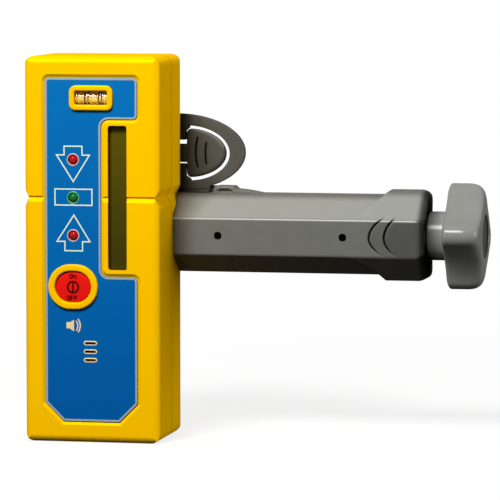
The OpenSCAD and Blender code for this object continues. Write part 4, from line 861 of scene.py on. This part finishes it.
def sight_holes(x, y, z):
    """Depth of the two round sight holes in the flat front: full inside the radius, none outside."""
    inside = [smooth((HOLE_R - np.hypot(x - at, z - HOLE_Z)) / HOLE_EDGE) for at in HOLES]
    return HOLE_DEEP * sum(inside) * (y < FACE_BACK)


def arm_skin(x, outline):
    """Skin points for places along the bar, a row each, and outline points across it. The grooves are
    deeper on the upper slant."""
    y, z = outline[None, :, 0] + 0 * x, outline[None, :, 1] + 0 * x
    z = swell(x, z)
    cut = grooves(x, z) * np.where(z > FACE_TOP, SLANT_DEEPER, 1) * (y < SLANT_BACK)
    return np.stack([x, y + cut + sight_holes(x, y, z), z + ARM_Z], -1)


print("the collar is", round(swell(COLLAR_X, ARM_TOP) - swell(COLLAR_X, ARM_FOOT), 1), "mm high")

# %% Painted highlight and shade
# Painted highlight and sheen, and painted shade, on the arm.
EDGE_GLINT, EDGE_GLINT_WIDE, SLANT_SHEEN, SLANT_SHEEN_BACK, SLANT_SHEEN_FADE, SLANT_FADE = 0.8, 0.36, 0.3, -10.2, 5, 0.8
FRONT_SHADE, FRONT_SHADE_MID, FRONT_SHADE_OPEN, FRONT_SHADE_FADE, GROOVE_SHADE_GAIN, GROOVE_SHADE_LEAST = 0.22, -0.7, 0.09, 1.2, 1.6, 0.35
FRONT_SHADE_MARGIN, EDGE_FADE, NOSE_SHADE, NOSE_SHADE_FROM, NOSE_SHADE_FADE = 0.3, 0.5, 0.8, 92.2, 2.6


def marked(thing, painted_highlight, shade_rule):
    """Writes on a mesh how much painted highlight and how much painted shade each of its points gets, from 0
    to 1, by two functions of x, y and z in mm."""
    mesh = thing.data
    flat = np.empty(3 * len(mesh.vertices), np.float32)
    mesh.vertices.foreach_get("co", flat)
    at = flat.reshape(-1, 3).T / MM
    for name, rule in (("painted_highlight", painted_highlight), ("painted_shade", shade_rule)):
        values = np.clip(rule(*at), 0, 1).astype(np.float32)
        mesh.attributes.new(name, "FLOAT", "POINT").data.foreach_set("value", values)
        print(thing.name, "has", name, "of up to", round(float(values.max()), 2))


def clean(x, y, z):
    """No painted highlight."""
    return 0 * x


def arm_painted_highlight(x, y, z):
    """Painted highlight, most along the upper front edge, where a lamp glints, and a painted sheen on the
    upper slant, which faces the lamps above."""
    z = z - ARM_Z
    edge_glint = EDGE_GLINT * np.exp(-(np.hypot(y - FACE_Y, z - FACE_TOP) / EDGE_GLINT_WIDE) ** 2)
    # Painted sheen: the upper slant is made lighter where the lamps above fall on it.
    held = SLANT_SHEEN * smooth((z - FACE_TOP) / SLANT_FADE) * smooth((SLANT_SHEEN_BACK - y) / SLANT_SHEEN_FADE)
    return np.maximum(edge_glint, held)


def arm_painted_shade(x, y, z):
    """Painted shade in the grooves and the holes, on the collar's front beyond each groove, and on the
    collar's end, which the knob shades."""
    z = z - ARM_Z
    between = smooth((FACE_TOP - FRONT_SHADE_MARGIN - z) / EDGE_FADE) * smooth((z - FACE_LOW) / EDGE_FADE)
    front = (y < FACE_BACK) * between
    bend = FRONT_SHADE_OPEN * (z - FRONT_SHADE_MID) ** 2
    beyond = sum(FRONT_SHADE * smooth((x - apex - bend) / FRONT_SHADE_FADE) for apex, *_ in GROOVES)
    # Painted shade on the collar's end, in the knob's shadow.
    nose_shade = NOSE_SHADE * smooth((x - NOSE_SHADE_FROM) / NOSE_SHADE_FADE)
    in_grooves = smooth(GROOVE_SHADE_GAIN * grooves(x, z) - GROOVE_SHADE_LEAST) * (y < SLANT_BACK)
    in_holes = (sight_holes(x, FACE_Y, z) > 0) * (y < HOLE_BACK)
    return in_grooves + in_holes + np.maximum(front * beyond, nose_shade)


print("wear on the arm's upper front edge", float(arm_painted_highlight(0.0, FACE_Y, FACE_TOP + ARM_Z)))

# %% Arm bar
PLAIN_TO, GROOVES_FROM, HOLE_ROOM = 60, 73, 1.7
shares = np.linspace(0, 1, ACROSS)
outer_corners, inner_corners = np.array(OUTER, float), np.array(INNER, float)
outer_run, inner_run = lengths(outer_corners), lengths(inner_corners)
inner_shares = np.interp(shares, outer_run / outer_run[-1], inner_run / inner_run[-1])
outer_at = at_lengths(rounded_path(OUTER, OUTER_R, closed=False, steps=24), shares)
inner_at = at_lengths(inner_corners, inner_shares)
stretches = [np.linspace(ARM_END, PLAIN_TO, 8), np.linspace(PLAIN_TO, GROOVES_FROM, 30),
             np.linspace(GROOVES_FROM, NUT_X, 16)]
stretches += [np.linspace(at - HOLE_ROOM, at + HOLE_ROOM, 19) for at in HOLES]
along = np.unique(np.round(np.concatenate(stretches), 3))[:, None] + np.zeros(ACROSS)
skin = arm_skin(along, outer_at)
bore = np.stack([along, inner_at[:, 0] + 0 * along, inner_at[:, 1] + ARM_Z + 0 * along], -1)
both_ways = np.concatenate([bore, bore[:, ::-1]], 1)
arm_rows = np.concatenate([both_ways[:1], np.concatenate([skin, bore[:, ::-1]], 1), both_ways[-1:]])
arm = piece("arm_bar", [(arm_rows, False)], grey_nylon, "receiver", ("clamp_arm",))
marked(arm, arm_painted_highlight, arm_painted_shade)

# %% Arm collar
NOSE_LONG, NOSE_R, HEX_HALF, MOUTH_R, MOUTH_EDGE = 4.4, 3.4, 7.5, 9.7, (0.2, 0.3)


def round_axis(x, r, angle):
    """Points at a place x along the clamp's axis and a distance r from it, in the direction of an angle
    that runs from y towards z."""
    r = r + 0 * angle
    return np.stack([x + 0 * r, AXIS_Y + r * np.cos(angle), ARM_Z + r * np.sin(angle)], -1)


ring_outline = evenly(rounded_path(OUTER[6:7] + OUTER[1:6], OUTER_R[5:] + OUTER_R[:5], steps=24), ACROSS)
along = np.linspace(NUT_X, COLLAR_X - NOSE_LONG, 140)[:, None] + np.zeros(ACROSS)
skin = arm_skin(along, ring_outline)
heart = np.array([AXIS_Y, ARM_Z])
last = skin[-1][:, 1:] - heart
dist = np.linalg.norm(last, axis=1)
turn = quarter_turn(12)[1:, None]
shrink = 1 - NOSE_R * (1 - np.cos(turn)) / dist
nose_x = COLLAR_X - NOSE_LONG * (1 - np.sin(turn)) + 0 * dist
nose = np.concatenate([nose_x[..., None], heart + last * shrink[..., None]], -1)
angle = np.arctan2(last[:, 1], last[:, 0])
hexagon = HEX_HALF / np.cos((angle + np.pi / 6) % (np.pi / 3) - np.pi / 6)
hole = [(MOUTH_R + MOUTH_EDGE[0], COLLAR_X), (MOUTH_R, COLLAR_X - MOUTH_EDGE[1]), (MOUTH_R, NUT_END),
        (hexagon, NUT_END), (hexagon, NUT_X)]
collar_rows = np.concatenate([skin, nose, np.stack([round_axis(x, r, angle) for r, x in hole])])
collar = piece("arm_collar", [(collar_rows, True)], grey_nylon, "receiver", ("clamp_arm",))
marked(collar, arm_painted_highlight, arm_painted_shade)

# %% [markdown]
# ## The stop on the arm
#
# Beside the guard a low block stands on the arm's top. Its front is hollowed like a thumbnail's mark, and
# away from the guard its top runs down to the arm in a long slope. It could be cut from a block, but a
# section with a rounded top carried along the bar, with only its height changing, makes block and slope one
# skin.

# %% Stop block
STOP_FROM, STOP_FLAT, STOP_STEP, STOP_FOOT, STOP_TO = 9.9, 10.9, 17, 19, 28.4
STOP_PLACES = [STOP_FROM, 10.1, 10.5, STOP_FLAT, 17.2, 17.8, 18.4, STOP_FOOT, 23, 26, STOP_TO]
STOP_HEIGHTS = [1.9, 2.3, 2.55, 2.65, 2.65, 2.45, 1.75, 1.4, 1.0, 0.5, 0.02]
STOP_BACK, STOP_FRONT, STOP_SUNK, STOP_RADII = -1.2, -9.4, 0.3, [0.02, 0.02, 0.3, 0.3]
NAIL_X, NAIL_Z, NAIL_LONG, NAIL_HIGH, NAIL_DEEP, NAIL_BACK = 14.2, 0.75, 3.2, 0.75, 1.3, -8.5
stretches = [np.linspace(STOP_FROM, STOP_FLAT, 9), np.linspace(STOP_FLAT, STOP_STEP, 30),
             np.linspace(STOP_STEP, STOP_FOOT, 16), np.linspace(STOP_FOOT, STOP_TO, 24)]
stop_x = np.unique(np.concatenate(stretches))[:, None]
stop_h = np.interp(stop_x, STOP_PLACES, STOP_HEIGHTS)
loop = [(STOP_BACK, 0), (STOP_FRONT, 0), (STOP_FRONT, 1), (STOP_BACK, 1)]
loop = evenly(rounded_path(loop, STOP_RADII), 120)
stop_z = loop[:, 1] * (stop_h + STOP_SUNK) - STOP_SUNK
hollow = np.maximum(0, 1 - ((stop_x - NAIL_X) / NAIL_LONG) ** 2 - ((stop_z - NAIL_Z) / NAIL_HIGH) ** 2)
stop_y = loop[:, 0] + NAIL_DEEP * np.sqrt(hollow) * (loop[:, 0] < NAIL_BACK)
block = np.stack([stop_x + 0 * stop_z, stop_y, stop_z], -1)
piece("arm_stop", [(capped(block), False)], grey_nylon, "receiver", ("clamp_arm",))

# %% [markdown]
# ## The latch
#
# Behind the case stands a D-shaped guard, one plate with a slot of the same shape, and in the slot hangs
# the tab that the thumb presses to free the receiver. The plate could be cut with a boolean, but its
# rounded edges would be lost, so it is a ring between two loops. Both are seen from one point inside the
# slot, where each direction meets each loop once, so points at the same angle belong together, and a
# rounded section joins them.

# %% Loops seen from inside
def reach(path, centre, angle):
    """Distance from a centre to a closed path in each direction: the nearest crossing of the ray with any
    side."""
    a = path - centre
    side = np.roll(a, -1, 0) - a
    c, s = np.cos(angle)[:, None], np.sin(angle)[:, None]
    across = c * side[:, 1] - s * side[:, 0]
    across = np.where(np.abs(across) < 1e-12, 1e-12, across)
    along = (a[:, 0] * side[:, 1] - a[:, 1] * side[:, 0]) / across
    share = (a[:, 0] * s - a[:, 1] * c) / across
    return np.where((share > -1e-6) & (share < 1 + 1e-6) & (along > 0), along, np.inf).min(1)


def half_oval(centre, half, first, last, steps=61):
    """Right half of an oval between two angles in degrees."""
    t = np.radians(np.linspace(first, last, steps))
    return np.stack([centre[0] + half[0] * np.cos(t), centre[1] + half[1] * np.sin(t)], -1)


def from_inside(path, centre):
    """Angles at which a path's own points are seen from a centre."""
    return np.arctan2(*(path - centre).T[::-1])


square = box_path(-5, -5, 5, 5, 1)
print("a square of 10 mm reaches", reach(square, np.zeros(2), np.zeros(1))[0], "mm sideways")

# %% Loops of the guard
GUARD_FRONT, GUARD_BACK, GUARD_EDGE = -7.2, -4.4, 0.45
GUARD_LEFT, GUARD_RIGHT, GUARD_TOP, BOW_FOOT = -27, 7.8, 31, 2.42
BOW_MID, BOW_HALF = (-5.5, 15.75), (27.4, 15.25)
TAB_EYE, OPENING_HALF, TAB_HALF = (-1.6, 15.4), (17.3, 10.9), (15.75, 9.7)
SHAFT_LEFT, SHAFT_RIGHT, SHAFT_LOW, SHAFT_HIGH = -25.1, -1.92, 11.3, 20.6
PIVOT, PIN_R, BOSS_R, BOSS_HIGH, BOSSES = np.array([-22.0, -4.9]), 1.05, 1.9, 4, (6.9, 19.9)
GUARD_RADII, SHAFT_RADII = [1.5, 0.3, 0.3], [0.2, 0.5, 0.5, 0.8, 0.8, 0.5, 0.5, 0.2]
bow_end = -math.degrees(math.acos((GUARD_RIGHT - BOW_MID[0]) / BOW_HALF[0]))
frame_side = [(BOW_MID[0], GUARD_TOP), (GUARD_LEFT, GUARD_TOP), (GUARD_LEFT, 0), (GUARD_RIGHT, 0),
              (GUARD_RIGHT, BOW_FOOT)]
outside = np.concatenate([rounded_path(frame_side, GUARD_RADII, closed=False),
                          half_oval(BOW_MID, BOW_HALF, bow_end + 1, 89)])
shaft = [(-0.5, 26.27), (-0.62, 25.45), (SHAFT_RIGHT, 24.26), (SHAFT_RIGHT, SHAFT_HIGH),
         (SHAFT_LEFT, SHAFT_HIGH), (SHAFT_LEFT, SHAFT_LOW), (SHAFT_RIGHT, SHAFT_LOW), (SHAFT_RIGHT, 6.36),
         (-0.12, 5.27), (0.05, 4.56)]
opening = np.concatenate([rounded_path(shaft, SHAFT_RADII, closed=False),
                          half_oval(TAB_EYE, OPENING_HALF, -84, 86)])
eye = np.array([-1.4, 15.9])
angle = np.unique(np.round(np.concatenate([from_inside(outside, eye), from_inside(opening, eye)]), 4))
ray = np.stack([np.cos(angle), np.sin(angle)], -1)
outer_loop, inner_loop = (eye + ray * reach(path, eye, angle)[:, None] for path in (outside, opening))
print("guard loops with", len(angle), "points each")

# %% Guard
# Base, lip and heel on the arm: two corners and the corner radius of each, its height and its edge.
GUARD_FEET = (((GUARD_LEFT, GUARD_FRONT, GUARD_RIGHT, 0, 0.4), 1.6, 0.25),
              ((-2.9, -8.6, GUARD_RIGHT, -6.8, 0.4), 1.1, 0.3), ((7.4, -5.4, 10.1, -0.6, 0.3), 2.4, 0.2))
# Painted shade on the guard next to the case.
CASE_SHADE, CASE_SHADE_TO, CASE_SHADE_FADE = 0.7, 2.0, 5
turn = quarter_turn(6)
leaving, coming = GUARD_EDGE * (1 - np.sin(turn)), GUARD_EDGE * (1 - np.cos(turn))
section = [(outer_loop, -leaving, GUARD_FRONT + coming), (outer_loop, -coming, GUARD_BACK - leaving),
           (inner_loop, leaving, GUARD_BACK - coming), (inner_loop, coming, GUARD_FRONT + leaving)]
plate = np.concatenate([standing(loop[None] + mitre(loop)[None] * offset[:, None, None], y[:, None])
                        for loop, offset, y in section])
feet = [prism(box_path(*sides), 0, high, round_edge, (0, 1, 2)) for sides, high, round_edge in GUARD_FEET]
bosses = [pipe(PIN_R, BOSS_R, z, z + BOSS_HIGH, PIVOT, 2, 32) for z in BOSSES]
guard = piece("d_guard", [(plate, True)] + feet + bosses, dark_nylon, "receiver",
              ("latch_guard",))


def guard_painted_shade(x, y, z):
    """Painted shade where the guard goes behind the case, in its shadow."""
    return CASE_SHADE * smooth((CASE_SHADE_TO - x) / CASE_SHADE_FADE)


marked(guard, clean, guard_painted_shade)

# %% Face of the release tab
TAB_MID, TAB_FRONT, TAB_BACK, TAB_POINTS = np.array([4.5, 15.4]), -7.5, -4.8, 300
CROWN_MID, CROWN_HALF, CROWN_DEEP = (4.0, 17.0), (10, 9), 0.55
RIBS, RIB_BEND, RIB_DEEP = ((2.1, 15.6, 6.4), (6.0, 15.2, 4.8)), 24, 0.85
RIB_FADE, RIB_STEEP, RIB_SLOW = 0.7, 0.3, 0.45
RIM_INSET = np.array([0.0, 0.1, 0.25, 0.45, 0.62, 0.74, 0.86, 1.0])
RIM_DROP = np.array([1.15, 0.8, 0.5, 0.3, 0.26, 0.3, 0.22, 0.0])


def tab_ribs(x, z):
    """Depth of the two grooves in the tab, from 0 to 1: bent like brackets, each on a wide arc, and steeper
    on the left."""
    depth = 0
    for at, mid, half in RIBS:
        off = x - at - RIB_BEND + np.sqrt(RIB_BEND ** 2 - (z - mid) ** 2)
        fade = smooth((half - np.abs(z - mid)) / RIB_FADE)
        wide = np.where(off < 0, RIB_STEEP, RIB_SLOW)
        depth = depth + fade * np.exp(-(off / wide) ** 2)
    return depth


def tab_face(x, z):
    """Depth of the tab's front: it grows with the square of the oval distance from the crown, and with the
    grooves."""
    out = ((x - CROWN_MID[0]) / CROWN_HALF[0]) ** 2 + ((z - CROWN_MID[1]) / CROWN_HALF[1]) ** 2
    return TAB_FRONT + CROWN_DEEP * out + RIB_DEEP * tab_ribs(x, z)


print("the tab's middle is at", round(float(tab_face(*TAB_MID)), 2), "mm")

# %% Release tab
TAB_LEFT, TAB_HIGH, TAB_LOW, TAB_R, BOW_TURN = -1.7, 25.1, 5.7, 1.7, 80
NECK_LOW, NECK_HIGH, NECK_STEP, NECK_FROM, NECK_END = 14.1, 18.7, 12.1, -1.0, -20.6
STEP_FROM, STEP_TO, NECK_FRONT, NECK_EDGE = -9, -10, -6.8, 0.3
NECK_RADII = [0.3, 0.3, 0.3, 0.3, 0.6, 0.6]
CATCH_SIDES, CATCH_FRONT, CATCH_BACK, CATCH_EDGE = (-13.5, 13.4, -10.5, 17.4, 0.4), -9.1, -5.8, 0.4
tab_bow = half_oval(TAB_EYE, TAB_HALF, -BOW_TURN, BOW_TURN)
tab_corners = [tab_bow[-1], (TAB_LEFT, TAB_HIGH), (TAB_LEFT, TAB_LOW), tab_bow[0]]
tab_back = rounded_path(tab_corners, TAB_R, closed=False)
tab_path = evenly(np.concatenate([tab_back[1:-1], tab_bow]), TAB_POINTS)
bevel = tab_path[None] - mitre(tab_path)[None] * RIM_INSET[:, None, None]
face = TAB_MID + np.linspace(1, 0, 72)[1:, None, None] * (bevel[-1] - TAB_MID)
flat = np.concatenate([np.broadcast_to(TAB_MID, tab_path.shape)[None], tab_path[None], bevel, face])
deep = np.concatenate([np.full((2, TAB_POINTS), TAB_BACK),
                       tab_face(bevel[..., 0], bevel[..., 1]) + RIM_DROP[:, None],
                       tab_face(face[..., 0], face[..., 1])])
neck_corners = [(NECK_FROM, NECK_STEP), (NECK_FROM, NECK_HIGH), (NECK_END, NECK_HIGH), (NECK_END, NECK_LOW),
                (STEP_TO, NECK_LOW), (STEP_FROM, NECK_STEP)]
neck_path = rounded_path(neck_corners, NECK_RADII)[::-1]
neck = prism(neck_path, NECK_FRONT, TAB_BACK, NECK_EDGE, (0, 2, 1))
barrel = pipe(PIN_R, BOSS_R, NECK_LOW, NECK_HIGH, PIVOT, 2, 32)
catch = prism(box_path(*CATCH_SIDES), CATCH_FRONT, CATCH_BACK, CATCH_EDGE, (0, 2, 1))
pad = standing(flat, deep), False
tab = piece("thumb_tab", [pad, neck, barrel, catch], dark_nylon, "tab", ("release_tab",),
            sharp=50)

# %% Painted highlight and shade on the tab
# Painted highlight on the tab's upper rim and painted shade on the tab.
SHOWN_TO, TAB_GLINT, TAB_GLINT_LEFT, TAB_GLINT_FROM, TAB_GLINT_FADE = -5.5, 0.5, -0.5, 16, 3
RIM_FROM, RIM_FADE, RIB_LEFT, RIB_GAIN, RIB_LEAST = 0.91, 0.05, -1.4, 1.5, 0.3
BEHIND, BEHIND_TO, BEHIND_FADE = 0.6, 3.5, 6.5


def tab_painted_highlight(x, y, z):
    """Painted highlight, most along the upper rim, which faces the lamps above."""
    rim = np.hypot((x - TAB_EYE[0]) / TAB_HALF[0], (z - TAB_EYE[1]) / TAB_HALF[1])
    near_rim = smooth((z - TAB_GLINT_FROM) / TAB_GLINT_FADE) * smooth((rim - RIM_FROM) / RIM_FADE)
    return TAB_GLINT * (y < SHOWN_TO) * (x > TAB_GLINT_LEFT) * near_rim


def tab_painted_shade(x, y, z):
    """Painted shade in the two grooves and on the side that goes behind the case, in its shadow."""
    in_ribs = (y < SHOWN_TO) * (x > RIB_LEFT) * smooth(RIB_GAIN * tab_ribs(x, z) - RIB_LEAST)
    return in_ribs + BEHIND * smooth((BEHIND_TO - x) / BEHIND_FADE)


marked(tab, tab_painted_highlight, tab_painted_shade)

# %% [markdown]
# ## The knob
#
# The knob is a four-lobed hand knob with a short round neck. Seen from its end it is a square on its
# corner, with rounded corners and hollow sides, so its outline is four arcs joined by four wider ones the
# other way round. It could be a subdivided block, but then its lobes would be no true arcs. A profile gives
# the rest: it runs from the neck over the rim to the recess in the outer face, and only the part beyond the
# neck follows the lobes.

# %% Outline of the knob
KNOB_R, LOBE_R, VALLEY_R, KNOB_TURN = 20.6, 4.6, 14.2, math.radians(5)
# The hollow's centre lies on the diagonal, so far out that its circle just touches the lobe's circle.
lobe_at = KNOB_R - LOBE_R
short = VALLEY_R - LOBE_R
hollow_at = (short ** 2 - lobe_at ** 2) / (2 * short - math.sqrt(2) * lobe_at)
side = hollow_at / math.sqrt(2)
meet = math.atan2(side, side - lobe_at)
t = np.linspace(-meet, meet, 30)
lobe = np.stack([lobe_at + LOBE_R * np.cos(t), LOBE_R * np.sin(t)], -1)
t = np.linspace(meet, math.pi / 2 - meet, 30)[1:-1]
hollow = side - (hollow_at - VALLEY_R) * np.stack([np.cos(t), np.sin(t)], -1)
quarter = np.concatenate([lobe, hollow])
lobes = np.concatenate([quarter @ np.array([[math.cos(q), math.sin(q)], [-math.sin(q), math.cos(q)]])
                        for q in np.arange(4) * math.pi / 2])
lobe_angle = full_turn(240)
rim = reach(lobes, np.zeros(2), lobe_angle - KNOB_TURN)
print("knob from", round(rim.min(), 2), "to", round(rim.max(), 2), "mm from its axis")

# %% Knob
NECK_X, KNOB_X, KNOB_END, HUB_R, KNOB_BORE = 96.3, 103.5, 118.4, 9.5, 5.0
LOBE_FROM, RECESS_R, RECESS_DEEP = 10.2, 8.5, 2
INNER_LONG, INNER_WIDE, OUTER_LONG, OUTER_WIDE, SQUARE = 1.7, 3.6, 7.9, 9.0, 2 / 3.2
HUB_EDGE, HUB_PLAIN, RIM_START, RIM_STOP, FIRST_SHARE = 0.5, 0.7, 0.2, 0.1, 0.4
# Points of the fillet, out from the hub and back from the knob's inner face, and of the lip, out from the
# recess and back from the outer face.
FILLET, LIP = ((0, 1.2), (0, 1.0), (0.2, 0.4), (0.7, 0.2)), ((0.7, 0.1), (0.3, 0), (0, 0.25))
# Each row has a radius, a place along the axis and the share of the lobes that is added.
hub = [(KNOB_BORE, NECK_X, 0), (HUB_R - HUB_EDGE, NECK_X, 0), (HUB_R, NECK_X + HUB_EDGE, 0),
       (HUB_R, NECK_X + HUB_PLAIN, 0)]
hub += [(HUB_R + out, KNOB_X - back, 0) for out, back in FILLET]
hub += [(LOBE_FROM, KNOB_X, FIRST_SHARE)]
turn = np.pi / 2 * smooth(np.linspace(0, 1, 22))
deep = rim.max() - LOBE_FROM
inner_x = KNOB_X + RIM_START + INNER_LONG * (1 - np.cos(turn))
inner_share = 1 - INNER_WIDE * (1 - np.sin(turn)) / deep
outer_x = KNOB_END - RIM_STOP - OUTER_LONG * (1 - np.sin(turn) ** SQUARE)
outer_share = 1 - OUTER_WIDE * (1 - np.cos(turn) ** SQUARE) / deep
arcs = [np.stack([np.full_like(turn, LOBE_FROM), x, share], -1)
        for x, share in ((inner_x, inner_share), (outer_x, outer_share))]
recess = [(RECESS_R + out, KNOB_END - back, 0) for out, back in LIP]
recess += [(RECESS_R, KNOB_END - RECESS_DEEP, 0), (KNOB_BORE, KNOB_END - RECESS_DEEP, 0)]
profile = np.concatenate([hub, *arcs, recess])
radius = profile[:, :1] + profile[:, 2:] * (rim - LOBE_FROM)
knob_grid = round_axis(profile[:, 1:2], radius, np.pi / 2 - lobe_angle)
knob = piece("lobed_knob", [(knob_grid, True)], knob_nylon, "knob", ("clamp_knob",), sharp=50)
# Painted shade on the neck next to the collar.
NECK_SHADE_TO, NECK_SHADE_FADE = 98.6, 2.2


def knob_painted_shade(x, y, z):
    """Painted shade where the neck comes out of the collar, in the collar's shadow."""
    return smooth((NECK_SHADE_TO - x) / NECK_SHADE_FADE)


marked(knob, clean, knob_painted_shade)

# %% [markdown]
# ## The screw and the pads
#
# The screw is plain in the CAD model. The real one has a trapezoid thread that climbs 4 mm a turn. It could
# be a profile swept along a helix, but it is simpler to let the radius depend on the place along the screw
# less the share of a turn. The rubber pads are ribbed across the rod, which is a wavy outline drawn up to
# the pad's height, and the ribs' tips lie on the pads' faces.

# %% Screw thread
LEAD, SHOULDER, SHANK_R = 4.0, 38.35, 4
ROOT_R, THREAD_HIGH, FLANK, FLANK_FROM = 4.05, 0.93, 2.6, 0.15
THREAD_FROM, THREAD_TIP, THREAD_STEP, SHANK_EDGE, RUN_IN = 0.6, 0.1, 0.2, 0.3, (0.4, 0.1)
screw_low, screw_high = TO_MM * np.array(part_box("clamp_screw"))[:, 0]
thread_x = np.arange(SHOULDER + THREAD_FROM, screw_high - THREAD_TIP, THREAD_STEP)[:, None]
thread_angle = full_turn(40)
climb = (thread_x / LEAD - thread_angle / (2 * np.pi)) % 1
thread_r = ROOT_R + THREAD_HIGH * np.clip(FLANK * np.minimum(climb, 1 - climb) - FLANK_FROM, 0, 1)
start = np.array([(0, screw_low), (SHANK_R - SHANK_EDGE, screw_low), (SHANK_R, screw_low + SHANK_EDGE),
                  (SHANK_R, SHOULDER), (SHANK_R + RUN_IN[0], SHOULDER + RUN_IN[1])])
tip = np.array([(SHANK_R, screw_high), (0, screw_high)])
screw_r = np.concatenate([start[:, :1] + 0 * thread_angle, thread_r, tip[:, :1] + 0 * thread_angle])
screw_x = np.concatenate([start[:, 1:], thread_x, tip[:, 1:]])
screw_grid = round_axis(screw_x, screw_r, thread_angle)
piece("threaded_screw", [(screw_grid, False)], zinc_steel, "knob", ("clamp_screw",))

# %% Ribbed pads
PAD_FROM, PAD_TO, PAD_LOW, PAD_HIGH, PAD_EDGE, PAD_THICK, PAD_CUT = 1.2, 35.4, -26.8, -4.0, 0.3, 2.0, 0.4
PAD_RIBS, RIB_HALF, PADS_APART = 13, 0.35, 26.0
rib_y = np.linspace(PAD_FROM, PAD_TO, PAD_RIBS * 8 + 1)
rib_step = (PAD_TO - PAD_FROM) / PAD_RIBS
rib = RIB_HALF * (1 + np.cos(2 * np.pi * (rib_y - PAD_FROM) / rib_step + np.pi)) - 2 * RIB_HALF
pad_back = [(-PAD_THICK + PAD_CUT, PAD_TO), (-PAD_THICK, PAD_TO - PAD_CUT), (-PAD_THICK, PAD_FROM + PAD_CUT),
            (-PAD_THICK + PAD_CUT, PAD_FROM)]
wave = np.concatenate([np.stack([rib, rib_y], -1), pad_back])
other = (wave * np.array([-1, 1]) + np.array([PADS_APART, 0]))[::-1]
fixed_pad, sliding_pad = (prism(p, PAD_LOW, PAD_HIGH, PAD_EDGE, (0, 1, 2)) for p in (wave, other))
piece("fixed_pad_ribbed", [fixed_pad], black_rubber, "receiver", ("fixed_jaw_pad",))
piece("sliding_pad_ribbed", [sliding_pad], black_rubber, "jaw", ("sliding_jaw_pad",))

# %% [markdown]
# ## Broken edges
#
# Moulded nylon and ABS never have knife edges. The jaws and the battery door could be drawn again, but
# nothing else is missing on them, so they keep their CAD shape, and a narrow bevel takes off their edges,
# so that each catches a line of light.

# %% Bevels
BEVELS = {"fixed_jaw": 0.6, "sliding_jaw": 0.6, "battery_door": 0.4}
BEVEL_STEPS, BEVEL_FROM = 2, 40
for node, width in BEVELS.items():
    bevel_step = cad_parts[node].modifiers.new("broken_edge", "BEVEL")
    bevel_step.width, bevel_step.segments = width * MM, BEVEL_STEPS
    bevel_step.limit_method, bevel_step.angle_limit = "ANGLE", math.radians(BEVEL_FROM)
print("bevelled", list(BEVELS))
